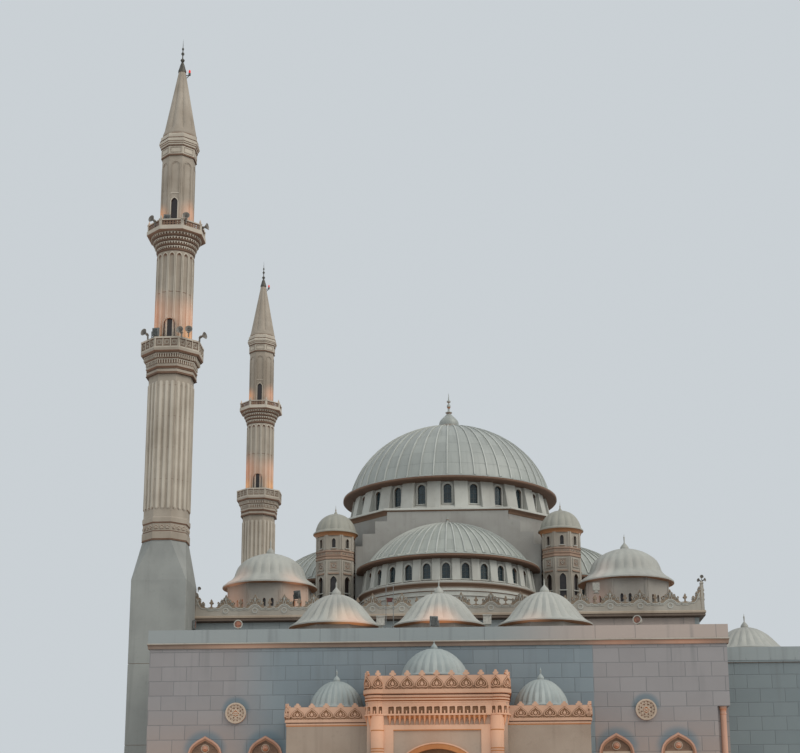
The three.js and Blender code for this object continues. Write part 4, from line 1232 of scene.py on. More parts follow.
shaft_line = [(0, 21.45), (shaft_apothem, 21.45)]
for i in range(4):
    joint = 23.7 + 1.85 * i
    shaft_line += [
        (shaft_apothem, joint), (shaft_apothem - 0.012, joint + 0.012),
        (shaft_apothem - 0.012, joint + 0.03), (shaft_apothem, joint + 0.042)
    ]
shaft_line += [(shaft_apothem, lower_shaft_head), (0, lower_shaft_head)]
shaft_ribs = [
    cut_slab(
        "rib", -shaft_apothem - proud, proud + 0.03,
        round_ended(x, rib_foot + inset, rib_head - inset, half)
    )
    for x in (-0.33, 0, 0.33)
    for half, proud, inset in ((0.105, 0.03, 0), (0.065, 0.065, 0.05))
]
band_flowers = [rosette("flower", x, -band_apothem - 0.01, 20.96, 0.13) for x in (-0.32, 0, 0.32)]
shaft_bands = octagon("shaft_bands", [
    (1.1, 20.26), (1.25, 20.26), (1.275, 20.3), (1.275, 20.66), (1.25, 20.7), (band_apothem, 20.71),
    (band_apothem, 21.21), (1.25, 21.22), (1.275, 21.25), (1.275, 21.49), (1.25, 21.54), (1.2, 21.59),
    (1.1, 21.59)
])
band_shade_rings = shade_rings("shaft_band_shade_rings", (
    (1.28, 20.2, 20.26), (1.25, 20.71, 20.76), (1.25, 21.17, 21.22)))
minaret_parts = [
    (square_to_octagon("foot"), foot_render, "lower_shaft"),
    (octagon("lower_shaft", shaft_line), minaret_stone),
    (on_each_side("lower_shaft_ribs", shaft_ribs), minaret_trim),
    (on_each_side("band_flowers", band_flowers), minaret_trim),
    (shaft_bands, minaret_stone),
    (band_shade_rings, brown_shade_stone),
]

# MINARET LOWER BALCONY
# The lower balcony stands on stepped mouldings and two rows of small arches. Its parapet is cast stone:
# three pierced squares on each of the eight sides, posts at the corners, and a light coping.
low_rail_apothem, low_rail_foot, low_rail_head = 1.68, 31.42, 32.05


def arcade(name, face, proud, foot, top, count, sides=8):
    """One side of a many-sided course with a row of small arches cut up into its lower edge."""
    half = (proud - face) * math.tan(math.pi / sides)
    pitch = 2 * half / count
    radius = pitch * 0.31
    spring = top - (top - foot) * 0.2 - radius
    line = [(half, foot), (half, top), (-half, top), (-half, foot)]
    for i in range(count):
        centre = -half + pitch * (i + 0.5)
        line += [
            (centre - radius, foot), (centre - radius, spring),
            (centre - radius * 0.7, spring + radius * 0.75), (centre, spring + radius * 1.1),
            (centre + radius * 0.7, spring + radius * 0.75), (centre + radius, spring),
            (centre + radius, foot)
        ]
    return cut_slab(name, face - proud, proud + 0.04, line)


def circle_line(x, z, radius, sides=12):
    return arc(x, z, radius, radius, 0, 2 * math.pi, sides)[:-1]


low_half, low_face = low_rail_apothem * half_flat, -low_rail_apothem
low_places, low_middle, low_square = (-0.44, 0, 0.44), (low_rail_foot + low_rail_head) / 2, 0.2
low_plate = block("plate", low_face + 0.02, 0.09, -low_half + 0.02, low_half - 0.02, 31.4, 31.98)
low_rings = [
    cut_slab(
        "ring", low_face - 0.005, 0.03, circle_line(x, low_middle, 0.145), circle_line(x, low_middle, 0.1)
    )
    for x in low_places
]
low_bosses = [rosette("boss", x, low_face + 0.02, low_middle, 0.06, 4, 0.03) for x in low_places]
low_frames = [
    frame_slab(
        "square", low_face + 0.02, 0.02, x - low_square, x + low_square, low_middle - low_square,
        low_middle + low_square, 0.03
    )
    for x in low_places
]
low_rail = [
    block("coping", low_face - 0.04, 0.18, -low_half - 0.015, low_half + 0.015, 31.95, low_rail_head),
    block("foot_rail", low_face - 0.02, 0.14, -low_half - 0.01, low_half + 0.01, 31.4, 31.47)
]
low_rail += [
    slab("post", low_face + 0.02, 0.05, x - 0.025, x + 0.025, 31.44, 31.97)
    for x in (-0.66, -0.22, 0.22, 0.66)
]
low_line = block("line", low_face - 0.025, 0.1, -low_half, low_half, 31.925, 31.955)
low_corbel = octagon("lower_corbel", [
    (1.1, 29.98), (1.28, 29.98), (1.35, 30.02), (1.37, 30.06), (1.37, 30.2), (1.31, 30.24), (1.31, 30.28),
    (1.36, 30.32), (1.4, 30.38), (1.4, 30.47), (1.36, 30.5), (1.36, 30.82), (1.48, 30.86), (1.48, 31.12),
    (1.6, 31.15), (1.68, 31.2), (1.7, 31.25), (1.7, 31.4), (1.66, 31.43), (1.1, 31.44)
])
low_shade_rings = shade_rings("lower_corbel_shade_rings", (
    (1.39, 29.95, 30.01), (1.37, 30.24, 30.29), (1.37, 30.48, 30.83), (1.49, 30.84, 31.14),
    (1.64, 31.13, 31.18)
))
low_arches = [arcade("arches", -1.36, 0.05, 30.56, 30.82, 8), arcade("arches", -1.48, 0.06, 30.88, 31.13, 9)]
minaret_parts += [
    (low_corbel, minaret_stone, "lower_balcony"),
    (low_shade_rings, brown_shade_stone),
    (on_each_side("lower_arches", low_arches), minaret_trim),
    (on_each_side("lower_rail_squares", [low_plate, *low_rings, *low_bosses]), minaret_stone),
    (on_each_side("lower_rail", low_rail), minaret_trim),
    (on_each_side("lower_rail_lines", [low_line, *low_frames]), brown_shade_stone),
]

# MINARET MIDDLE SHAFT
# A round shaft of cast drums with sixteen flutes that end in points, and a door to the lower balcony. The
# door has a moulded frame with a round head.
middle_radius, middle_foot, middle_head, flute_foot = 1.07, 31.4, 37.64, 31.9
flute_heads = {0: 37.42, 1: 37.35, 2: 37.2}
middle_door, upper_door = arch_line(0.34, 31.42, 33.02, 33.37), arch_line(0.2, 38.9, 40.7, 41.0)


def doorway_cut(piece, opening, front):
    """Cuts a doorway from the front into a shaft."""
    cutter = cut_slab("doorway_cutter", front - 0.3, 0.8, opening)
    hold(piece)
    cut = piece.modifiers.new("doorway", "BOOLEAN")
    cut.operation, cut.solver, cut.object = "DIFFERENCE", "EXACT", cutter
    bpy.ops.object.modifier_apply(modifier="doorway")
    drop_patterns([cutter])
    return piece


def arch_band(name, y, depth, outer, inner):
    """The moulding round an opening that runs down to the floor. Both lines start at the same height."""
    return cut_slab(name, y, depth, [*outer[1:], outer[0], inner[0], *reversed(inner[1:])])


middle_line = [(0, middle_foot), (1.16, middle_foot), (1.16, 31.62), (1.1, 31.7), (middle_radius, flute_foot)]
middle_line += [
    (middle_radius, z)
    for z in (flute_foot + 0.03, 35.02, 35.04, 35.07, 35.09, 37.0, 37.18, 37.34, 37.41, 37.5)
]
middle_line += [(middle_radius, middle_head), (0, middle_head)]
middle_shaft = turned("middle_shaft", middle_line, round_sides)
fluted(
    middle_shaft, 16, 0.062, lambda z, column: flute_foot + 0.01 < z < flute_heads[column],
    (1.0, 0.86, 0.5), 0.5
)
fluted(middle_shaft, round_sides, 0.02, lambda z, column: 35.03 < z < 35.08, (1.0,), 0.5)
doorway_cut(middle_shaft, middle_door, -middle_radius)
flute_frame = arch_band(
    "flute_frames", -middle_radius - 0.02, 0.06, arch_line(0.205, flute_foot, 37.24, 37.55),
    arch_line(0.15, flute_foot, 37.24, 37.47)
)
door_frames = [
    arch_band("frame", -1.14, 0.3, arch_line(0.42, 31.42, 33.02, 33.46), middle_door),
    arch_band("frame", -1.17, 0.2, arch_line(0.38, 31.42, 33.02, 33.41), middle_door)
]
door_leaf = cut_slab("middle_door_leaf", -1.045, 0.04, arch_line(0.36, 31.42, 33.02, 33.39))
minaret_parts += [
    (middle_shaft, minaret_stone, "middle_shaft", 24),
    (spread(flute_frame, 16, 22.5), minaret_trim),
    (joined("middle_door_frame", door_frames), minaret_stone), (door_leaf, dark_glass)
]

# MINARET UPPER BALCONY
# The upper balcony rests on a bell of four rows of small stalactite arches over a core painted brown as
# shade. Its parapet has pierced panels in the same painted shade between light posts with knobs.
up_apothem, up_head = 1.58, 39.38


def corner_post(name, apothem, half, foot, head, knob):
    """A square post on the corner of a balcony, with a cap and a small pointed knob. It stands at -Y."""
    out = apothem * flats - half
    post = turned(name, [
        (0, foot), (half * 1.42, foot), (half * 1.42, head - 0.07), (half * 1.8, head - 0.05),
        (half * 1.8, head), (half * 0.7, head + 0.03), (half * 0.8, head + knob * 0.4),
        (half * 0.35, head + knob * 0.7), (0, head + knob)
    ], 4, 0.5)
    return shifted(post, (0, -out, 0))


up_half, up_face = up_apothem * half_flat, -up_apothem
bell_rows = [spread(arcade("row", -radius, 0.055, low, high, 2, 24), 24, 15) for radius, low, high in (
    (1.09, 37.76, 37.9), (1.18, 38.02, 38.15), (1.29, 38.27, 38.4), (1.42, 38.52, 38.66))]
bell_core = turned("upper_corbel_core", [
    (0.8, 37.58), (1.08, 37.6), (1.13, 37.66), (1.08, 37.72), (1.08, 37.9), (1.17, 37.98), (1.17, 38.15),
    (1.28, 38.23), (1.28, 38.4), (1.41, 38.48), (1.42, 38.68), (0.8, 38.68)
], 48)
up_slab = octagon("upper_slab", [
    (0.8, 38.66), (1.54, 38.66), (1.62, 38.7), (1.64, 38.74), (1.64, 38.97), (1.6, 39.0), (0.8, 39.02)
])
piercings = [
    circle_line(x, z, 0.05, 6)
    for x in (-0.51, -0.34, -0.17, 0, 0.17, 0.34, 0.51)
    for z in (39.09, 39.22)
]
up_panels = cut_slab(
    "upper_rail_panels", up_face + 0.02, 0.04, block_line(-up_half, up_half, 38.98, 39.33), *piercings
)
up_rail = block("upper_rail", up_face - 0.03, 0.13, -up_half - 0.015, up_half + 0.015, 39.31, up_head)
minaret_parts += [
    (bell_core, brown_shade_stone, "upper_balcony", 30),
    (joined("upper_corbel_rows", bell_rows), minaret_trim), (up_slab, minaret_trim),
    (spread(up_panels, 8, 45), brown_shade_stone),
    (spread(up_rail, 8, 45), minaret_trim),
    (spread(shifted(corner_post(
        "upper_posts", 1.59, 0.075, 38.9, 39.42, 0.28
    ), turn=22.5), 8, 45), minaret_trim)
]

# MINARET UPPER SHAFT AND SPIRE
# The upper shaft is eight-sided with a blind arch on each face, a panelled band and a small cornice. The
# spire has eight soft lobes under a lead cap with three balls, and a red lamp on an arm warns aircraft.
upper_apothem = 0.93
upper_shaft = octagon("upper_shaft", [
    (0, 38.9), (1.0, 38.9), (1.0, 39.2), (upper_apothem, 39.28), (upper_apothem, 43.78), (0, 43.78)
])
doorway_cut(upper_shaft, upper_door, -upper_apothem)
blind_arches = [
    arch_band(
        "blind_arch", -upper_apothem - proud, proud + 0.03,
        arch_line(outer, 39.3, 43.1, 43.1 + outer * 1.05), arch_line(inner, 39.3, 43.1, 43.1 + inner * 1.05)
    )
    for outer, inner, proud in ((0.3, 0.25, 0.03), (0.22, 0.185, 0.02))
]
upper_trims = [
    arch_band("frame", -0.99, 0.15, arch_line(0.25, 38.95, 40.7, 41.06), arch_line(0.2, 38.95, 40.7, 41.0)),
    slab("panel_foot", -upper_apothem, 0.03, -0.25, 0.25, 41.28, 41.34)
]
upper_leaf = cut_slab("upper_door_leaf", -0.89, 0.04, arch_line(0.22, 38.92, 40.7, 41.02))
top_frame = frame_slab("top_panel", -1.0, 0.025, -0.33, 0.33, 43.92, 44.28, 0.04)
top_rings = [
    octagon("top", profile)
    for profile in (
        [(0.8, 43.8), (0.97, 43.8), (1.0, 43.84), (1.0, 44.34), (0.8, 44.36)],
        [
            (0.8, 44.42), (1.05, 44.42), (1.05, 44.52), (1.1, 44.54), (1.1, 44.62), (1.14, 44.64),
            (1.14, 44.76), (1.1, 44.82), (1.06, 44.9), (1.06, 45.12), (1.0, 45.2), (0.8, 45.22)
        ]
    )
]
top_shade_rings = shade_rings("upper_band_shade_rings", (
    (1.01, 43.74, 43.81), (1.04, 44.35, 44.42), (1.11, 44.86, 44.9)), 0.8)
lobe_foot, lobe_head, spire_rings = (0.98, 45.5), (0.21, 49.74), 10
spire_line = [(0, 45.18), (1.0, 45.19), (1.02, 45.24), (1.02, 45.38), (0.99, 45.44)]
for i in range(spire_rings + 1):
    share = (i / spire_rings) ** 1.3
    spire_line.append(tuple(start + (end - start) * share for start, end in zip(lobe_foot, lobe_head)))
spire = turned("spire_lobes", [*spire_line, (0, 49.8)], round_sides)
fluted(
    spire, 8, 0.13, lambda z, column: z > lobe_foot[1] + (0.01 if column > 2 else 0.14),
    (1.0, 0.66, 0.4, 0.2, 0.08)
)


lead_grey = smooth_finish(
    "weathered_lead", (70, 68, 62), (96, 92, 84), (0.15, 4), (0.3, 0.7), (0.4, 0.7), metal=0.5
)
red_glass = smooth_finish(
    "red_lamp_glass", (206, 44, 30), (150, 26, 20), (0.05, 3), None, (0.2, 0.5), shine=0.8
)
spire_cap = turned("spire_cap", [
    (0, 49.7), (0.24, 49.7), (0.25, 49.78), (0.2, 49.95), (0.13, 50.22), (0.07, 50.4), (0.05, 50.43),
    (0.1, 50.47), (0.13, 50.54), (0.1, 50.61), (0.04, 50.66), (0.03, 50.8), (0.04, 50.89), (0.08, 50.93),
    (0.1, 50.99), (0.08, 51.05), (0.03, 51.1), (0.03, 51.22), (0.05, 51.26), (0.07, 51.32), (0.05, 51.38),
    (0.02, 51.42), (0.015, 51.6), (0, 52.05)
], 16)
lamp_arm = joined("spire_lamp_arm", [
    block("arm", -0.02, 0.04, 0.15, 0.5, 49.5, 49.54),
    cut_slab("strut", -0.015, 0.03, [(0.2, 49.28), (0.24, 49.26), (0.46, 49.5), (0.42, 49.52)]),
    shifted(turned("base", [
        (0, 49.52), (0.07, 49.52), (0.07, 49.66), (0.05, 49.68), (0, 49.68)
    ], 12), (0.46, 0, 0))
])
lamp_bulb = shifted(turned("spire_lamp", [
    (0, 49.67), (0.06, 49.67), (0.07, 49.74), (0.06, 49.83), (0.03, 49.88), (0, 49.9)
], 12), (0.46, 0, 0))
minaret_parts += [
    (upper_shaft, minaret_stone, "upper_shaft"),
    (on_each_side("upper_blind_arches", [*blind_arches, top_frame]), minaret_stone),
    (joined("upper_door_frame", upper_trims), minaret_trim), (upper_leaf, dark_glass),
    (joined("upper_bands", top_rings), minaret_trim), (top_shade_rings, brown_shade_stone),
    (spire, minaret_stone, "spire", 28), (spire_cap, lead_grey, None, 40),
    (lamp_arm, lead_grey), (lamp_bulb, red_glass, None, 40),
]
for side, north in (("near", -1), ("far", 1)):
    for part, finish, *more in minaret_parts:
        node, smooth = [*more, None, None][:2]
        settle(copied(part, f"{side}_minaret_{part.name}", (minaret_x, north * minaret_out, 0)), finish,
               *([f"{side}_minaret_{node}"] if node else []),
               slot="dome_covering" if node == "spire" else "minaret_stone", smooth=smooth)
drop_patterns([part for part, *_ in minaret_parts])

# HALL CRESTING
# Round the roof edge runs a pierced cresting of cast stone: over each ring rises a stack of curled leaves,
# between the rings stands a three-leaved stalk, and a double wavy moulding joins them. The ends ramp up.
crest_foot, crest_thick, crest_proud, plain_proud, ring_height = 16.28, 0.18, 0.04, 0.012, 16.58
crest_pitch = 1.6667
leaf_side = [
    (0.6, 16.78), (0.5, 16.82), (0.46, 16.95), (0.5, 17.05), (0.42, 17.12), (0.36, 17.03), (0.33, 16.97),
    (0.32, 17.1), (0.28, 17.22), (0.2, 17.24), (0.2, 17.14), (0.17, 17.1), (0.16, 17.28), (0.1, 17.36),
    (0.08, 17.3), (0.05, 17.42), (0, 17.52)
]
stalk_side = [
    (0.2333, 16.78), (0.08, 16.8), (0.035, 16.84), (0.035, 16.98), (0.1, 17.0), (0.12, 17.07), (0.05, 17.1),
    (0.06, 17.17), (0, 17.27)
]
ramp_side = [
    (0, 16.78), (0.14, 16.8), (0.2, 16.9), (0.16, 17.03), (0.24, 17.13), (0.34, 17.07), (0.36, 16.99),
    (0.42, 17.12), (0.4, 17.28), (0.48, 17.38), (0.55, 17.3), (0.56, 17.42), (0.58, 17.56), (0.66, 17.66),
    (0.7, 17.56), (0.74, 17.76)
]
leaf_wave = [(0.6, 16.75), (0.5, 16.69), (0.38, 16.7), (0.29, 16.78), (0.2, 16.86), (0.1, 16.91), (0, 16.925)]
stalk_wave = [(0.2333, 16.75), (0.13, 16.7), (0, 16.68)]
ramp_wave = [(0, 16.75), (0.12, 16.7), (0.3, 16.72), (0.42, 16.8), (0.52, 16.95), (0.58, 17.12), (0.68, 17.3)]


def mirrored(line):
    """A line of (x, z) that ends over x = 0, and back down on the other side."""
    return [*line, *[(-x, z) for x, z in reversed(line) if x]]


def through_crest(name, line, width):
    """A moulding that stands out of the cresting on both its faces."""
    return ribbon(name, line, 0, crest_proud, width, crest_thick + crest_proud)


def crest_curl(x, z, radius, hand):
    return scroll("curl", x, z, radius, hand, 0, crest_proud, back=crest_thick + crest_proud)


def repeated(piece, count, pitch):
    """A row of copies along X in one mesh, centred on the place of the piece."""
    hold(piece)
    row = piece.modifiers.new("row", "ARRAY")
    row.use_relative_offset, row.use_constant_offset = False, True
    row.constant_offset_displace, row.count = (pitch, 0, 0), count
    bpy.ops.object.modifier_apply(modifier="row")
    return shifted(piece, (-pitch * (count - 1) / 2, 0, 0))


# Painted shade: the solid ground of the cresting between its mouldings is brown, where the piercings show
# shade.
crest_shade_ground = cast_stone("cresting_painted_shade", (142, 126, 108), (120, 104, 88), (98, 78, 64))


def crest_row(name, count, pitch, left_end, right_end):
    """A row of bays with its face at y = 0 and a ramp up to each end: walls, plain ends and mouldings."""
    wide = pitch / crest_pitch

    def standing(line):
        edge = line[0][0] * wide
        return [(-edge, crest_foot), (edge, crest_foot), *mirrored([(x * wide, z) for x, z in line])]

    def double_wave(line):
        wave = mirrored([(x * wide, z) for x, z in line])
        return [
            through_crest("wave", wave, 0.045),
            through_crest("wave", [(x, z - 0.09) for x, z in wave], 0.03)
        ]

    walls = [
        repeated(cut_slab("leaf", 0, crest_thick, standing(leaf_side)), count, pitch),
        repeated(cut_slab("stalk", 0, crest_thick, standing(stalk_side)), count + 1, pitch)
    ]
    plains = [
        repeated(cut_slab(
            "plain", -plain_proud, crest_thick + 2 * plain_proud, standing(line)
        ), times, pitch)
        for line, times in ((leaf_wave, count), (stalk_wave, count + 1))
    ]
    waves = double_wave(leaf_wave)
    waves.append(cut_slab(
        "ring", -crest_proud, crest_thick + 2 * crest_proud, circle_line(0, ring_height, 0.165, 14),
        circle_line(0, ring_height, 0.11, 14)))
    for hand in (-1, 1):
        waves += [
            crest_curl(hand * across * wide, z, radius, -hand)
            for across, z, radius in ((0.38, 16.97, 0.085), (0.23, 17.1, 0.085), (0.1, 17.24, 0.07))
        ]
        waves.append(through_crest("vein", [
            (hand * 0.07, 16.95), (hand * 0.05, 17.06), (hand * 0.02, 17.16), (0, 17.4)
        ], 0.025))
    mouldings = [
        repeated(joined("waves", waves), count, pitch),
        repeated(joined("waves", double_wave(stalk_wave)), count + 1, pitch)
    ]
    start = pitch * count / 2 + stalk_side[0][0] * wide
    for hand, end in ((-1, left_end), (1, right_end)):
        climb = (abs(end) - start) / ramp_side[-1][0]
        foot = [(hand * abs(end), crest_foot), (hand * start, crest_foot)]
        leafy, wavy = [[(hand * (start + x * climb), z) for x, z in line] for line in (ramp_side, ramp_wave)]
        walls.append(cut_slab("ramp", 0, crest_thick, [*foot, *leafy]))
        plains.append(cut_slab("plain", -plain_proud, crest_thick + 2 * plain_proud, [*foot, *wavy]))
        mouldings.append(through_crest("wave", wavy, 0.045))
        mouldings += [
            crest_curl(hand * (start + x * climb), z, 0.09, -hand)
            for x, z in ((0.26, 16.95), (0.5, 17.2), (0.66, 17.48), (0.64, 16.95))
        ]
    return [(joined(name + "_wall", walls), crest_shade_ground), (joined(name + "_plain", plains), carved),
            (joined(name + "_mouldings", mouldings), limewashed)]


crest_face_x, crest_face_y = hall_half_x + 0.3, hall_half_y + 0.3
by_minaret, side_end, left_row_end = -14.15, crest_face_y - crest_thick, hall_half_y
crest_rows = [
    (
        crest_row("front_cresting", 16, crest_pitch, by_minaret - 0.1, 14.2), 0, (0.1, -crest_face_y, 0),
        "hall_parapet"
    ),
    (crest_row("back_cresting", 16, crest_pitch, -14.3, -by_minaret), 180, (0, crest_face_y, 0), None),
    (crest_row("right_cresting", 18, 1.71, -side_end, side_end), 90, (crest_face_x, 0, 0), None),
    (
        crest_row("left_cresting", 18, 1.69, -left_row_end, left_row_end), -90, (-crest_face_x, 0, 0),
        "hall_left_parapet"
    )
]
for parts, turn, place, node in crest_rows:
    for part, finish in parts:
        settle(shifted(part, place, turn), finish, *([node] if node and finish is crest_shade_ground else []))
crest_post = turned("crest_post", [
    (0, crest_foot), (0.11, crest_foot), (0.11, 17.78), (0.14, 17.8), (0.14, 17.87), (0.08, 17.92),
    (0, 18.0)
], 4, 0.5)
for name, north in (("front", -1), ("back", 1)):
    settle(copied(crest_post, name + "_crest_post", (
        crest_face_x - 0.11, north * (crest_face_y - 0.11), 0
    )), carved)
drop_patterns([crest_post])

# PORCH AND WING BANDS
# The clad walls end in a plain band of stone. Under it run a light torus and a cavetto painted brown as
# shade, made in lengths and bedded between the band and the first course of panels.
# Painted shade: the cavetto's brown stands for the shade under the torus, and nearby lamps add their glow.
band_shade_brown = cast_stone("band_cavetto", (132, 114, 101), (116, 100, 88), (104, 86, 74), 0.85, (
    ((8.6, -28.25, 12.8), 2.4, (176, 118, 90)), ((11.8, -28.25, 12.8), 2.8, (182, 118, 86)),
    ((-9.5, -28.25, 12.8), 4.0, (168, 124, 98))))
for name, half_x, half_y, centre, foot, tall, deep in (
    ("porch", 13.985, 5.93, (-0.165, -22.23), 12.74, 1.0, 1.0),
    ("wing", 5.4, 3.35, (19.22, -19.65), 12.47, 0.65, 0.6)
):
    for part, finish, profile in (
        ("torus", carved, [
            (0.0, 0.18), (0.1, 0.18), (0.125, 0.2), (0.13, 0.225), (0.125, 0.25), (0.1, 0.27), (0.0, 0.27)
        ]),
        ("cavetto", band_shade_brown, [
            (-0.02, 0.0), (0.083, 0.0), (0.086, 0.06), (0.092, 0.12), (0.11, 0.19), (-0.02, 0.19)
        ])
    ):
        moulding = run_round(f"{name}_{part}", half_x, half_y, [
            (out * deep, foot + up * tall)
            for out, up in profile
        ], centre)
        settle(moulding, finish)

# NICHES AND ROUNDELS
# Pairs of tall niches with a keel-arched head stand in the clad walls, each with a pink stone moulding, a
# carved tympanum with a boss, and a window with a metal grille. A pierced roundel is set over each pair.
niche_pink = cast_stone("niche_moulding", (198, 154, 132), (180, 136, 114), (180, 112, 74))
niche_orange = cast_stone("niche_inner_moulding", (168, 124, 98), (150, 108, 84), (156, 98, 64))
niche_brown = cast_stone("niche_carving", (142, 112, 92), (122, 98, 82), (112, 80, 60))
roundel_stone = cast_stone("roundel_stone", (190, 170, 150), (170, 150, 131), (180, 108, 64))
niche_shoulder, boss_height, roundel_height = 7.53, 7.92, 9.6
keel = [(1, 0), (0.975, 0.2), (0.89, 0.42), (0.72, 0.61), (0.46, 0.78), (0.2, 0.9), (0, 1)]


def keel_line(half, sill, shoulder, apex):
    """Outline of an opening under a keel arch, from its lower left corner, as (x, z)."""
    right = [(half * across, shoulder + (apex - shoulder) * up) for across, up in keel]
    return [(-half, sill), (half, sill), *right, *[(-x, z) for x, z in reversed(right[:-1])]]


niche_frame = [
    cut_slab(
        "frame", -0.05, 0.18, keel_line(0.83, 3.86, niche_shoulder, 8.51),
        keel_line(0.755, 3.95, niche_shoulder, 8.4)
    ),
    block("sill", -0.1, 0.2, -0.92, 0.92, 3.76, 3.88)
]
niche_slope = cut_slab(
    "slope", -0.02, 0.15, keel_line(0.757, 3.94, niche_shoulder, 8.405),
    keel_line(0.68, 4.02, niche_shoulder, 8.3)
)
niche_bead = [cut_slab(
    "bead", 0.02, 0.12, keel_line(0.685, 4.01, niche_shoulder, 8.31),
    keel_line(0.65, 4.05, niche_shoulder, 8.26)
)]
niche_bead += [
    ribbon("tympanum_edge", keel_line(0.56, 7.7, 7.7, 8.14)[1:], 0.09, 0.03, 0.035),
    scroll("leaf", -0.38, 7.84, 0.12, 1, 0.09), scroll("leaf", 0.38, 7.84, 0.12, -1, 0.09)
]
tympanum = cut_slab("tympanum", 0.09, 0.07, keel_line(0.66, 7.6, 7.6, 8.28))
niche_light = [
    slab("bar", 0.1, 0.07, -0.66, 0.66, 7.55, 7.65),
    cut_slab(
        "boss_ring", 0.05, 0.05, circle_line(0, boss_height, 0.2, 20),
        circle_line(0, boss_height, 0.165, 20)
    ),
    cut_slab(
        "surround", 0.1, 0.06, block_line(-0.67, 0.67, 4.02, 7.56), block_line(-0.53, 0.53, 4.32, 7.43)
    )
]
niche_boss = shifted(turned("boss", [
    (0, -0.02), (0.155, -0.02), (0.15, 0.04), (0.12, 0.075), (0.09, 0.085), (0.075, 0.075), (0.06, 0.1),
    (0.03, 0.115), (0, 0.12)
], 16), (0, 0.09, boss_height), lean=90)
window_pane = block("pane", 0.34, 0.02, -0.56, 0.56, 4.28, 7.47)
window_bars = [
    slab("bar", 0.3, 0.02, x - 0.012, x + 0.012, 4.3, 7.45)
    for x in (-0.53, -0.265, 0, 0.265, 0.53)
]
window_bars += [
    slab("bar", 0.3, 0.03, -0.55, 0.55, z - 0.012, z + 0.012)
    for z in (4.32, 4.95, 5.58, 6.21, 6.84, 7.43)
]
niche_parts = [
    ("niche_mouldings", joined("frame", niche_frame), niche_pink),
    ("niche_slopes", niche_slope, niche_orange), ("niche_bosses", niche_boss, niche_pink),
    ("niche_beads", joined("bead", niche_bead), niche_brown), ("niche_tympana", tympanum, niche_brown),
    ("niche_carving", joined("carving", niche_light), roundel_stone),
    ("niche_panes", window_pane, dark_glass),
    ("niche_grilles", joined("bars", window_bars), bars)
]
star_holes = [circle_line(x, z, 0.032, 6) for x, z in circle_line(0, roundel_height, 0.365, 14)]
star_holes += [
    circle_line(x, z, 0.05, 4)
    for x, z in arc(0, roundel_height, 0.24, 0.24, math.pi / 8, math.pi * 15 / 8, 7)
]
roundel_face = [
    cut_slab("plate", -0.07, 0.03, circle_line(0, roundel_height, 0.46, 28), *star_holes),
    cut_slab(
        "rim", -0.12, 0.14, circle_line(0, roundel_height, 0.5, 28),
        circle_line(0, roundel_height, 0.42, 28)
    ),
    cut_slab(
        "inner_rim", -0.1, 0.05, circle_line(0, roundel_height, 0.31, 20),
        circle_line(0, roundel_height, 0.29, 20)
    ),
    rosette("star", 0, -0.07, roundel_height, 0.17, 8, 0.04)
]
roundel_parts = [
    ("roundels", joined("face", roundel_face), roundel_stone),
    ("roundel_grounds", cut_slab(
        "ground", -0.045, 0.05, circle_line(0, roundel_height, 0.45, 20)
    ), niche_brown)
]
hall_pairs = (-pair_place, 0, pair_place)
pair_walls = [
    ("porch_front", (0, -28.16, 0), 0, (-pair_place, pair_place)),
    ("hall_left", (-hall_half_x, 0, 0), -90, hall_pairs),
    ("hall_right", (hall_half_x, 0, 0), 90, hall_pairs),
    ("hall_back", (0, hall_half_y, 0), 180, hall_pairs)
]
for wall, place, turn, centres in pair_walls:
    for part_name, pattern, finish in niche_parts:
        row = [copied(pattern, "copy", (x + side * pair_half, 0, 0)) for x in centres for side in (-1, 1)]
        settle(shifted(joined(f"{wall}_{part_name}", row), place, turn), finish)
    for part_name, pattern, finish in roundel_parts:
        row = [copied(pattern, "copy", (x, 0, 0)) for x in centres]
        settle(shifted(joined(f"{wall}_{part_name}", row), place, turn), finish)
drop_patterns([pattern for _, pattern, _ in niche_parts + roundel_parts])

# CORNER COLONNETTE AND WING WINDOWS
# The right corner of the porch is cut back up to 9.75 m, and a slender column of pink cast stone stands in
# the notch. The wing has plain metal windows in narrow stone surrounds.
colonnette = turned("corner_colonnette", [
    (0, 0.3), (0.22, 0.3), (0.22, 0.5), (0.19, 0.54), (0.2, 0.6), (0.15, 0.68), (0.145, 9.36), (0.16, 9.38),
    (0.16, 9.42), (0.145, 9.44), (0.15, 9.54), (0.175, 9.62), (0.185, 9.66), (0.185, 9.75), (0, 9.75)
], 20)
settle(shifted(colonnette, (13.51, -27.87, 0)), niche_pink, smooth=35)
wing_frames, wing_panes, wing_grilles = [], [], []
for x in (16.52, 21.92):
    wing_frames += [
        cut_slab(
            "frame", -23.04, 0.12, block_line(x - 0.66, x + 0.66, 2.9, 5.92),
            block_line(x - 0.52, x + 0.52, 3.04, 5.76)
        ),
        block("sill", -23.09, 0.16, x - 0.74, x + 0.74, 2.82, 2.93)
    ]
    wing_panes.append(block("pane", -22.76, 0.02, x - 0.56, x + 0.56, 2.98, 5.82))
    wing_grilles += [
        slab("bar", -22.78, 0.03, x + across - 0.015, x + across + 0.015, 3.02, 5.78)
        for across in (-0.53, 0, 0.53)
    ]
    wing_grilles += [
        slab("bar", -22.78, 0.03, x - 0.54, x + 0.54, z - 0.015, z + 0.015)
        for z in (3.04, 3.95, 4.86, 5.76)
    ]
settle(joined("wing_window_frames", wing_frames), carved)
settle(joined("wing_window_panes", wing_panes), dark_glass)
settle(joined("wing_window_grilles", wing_grilles), bars)

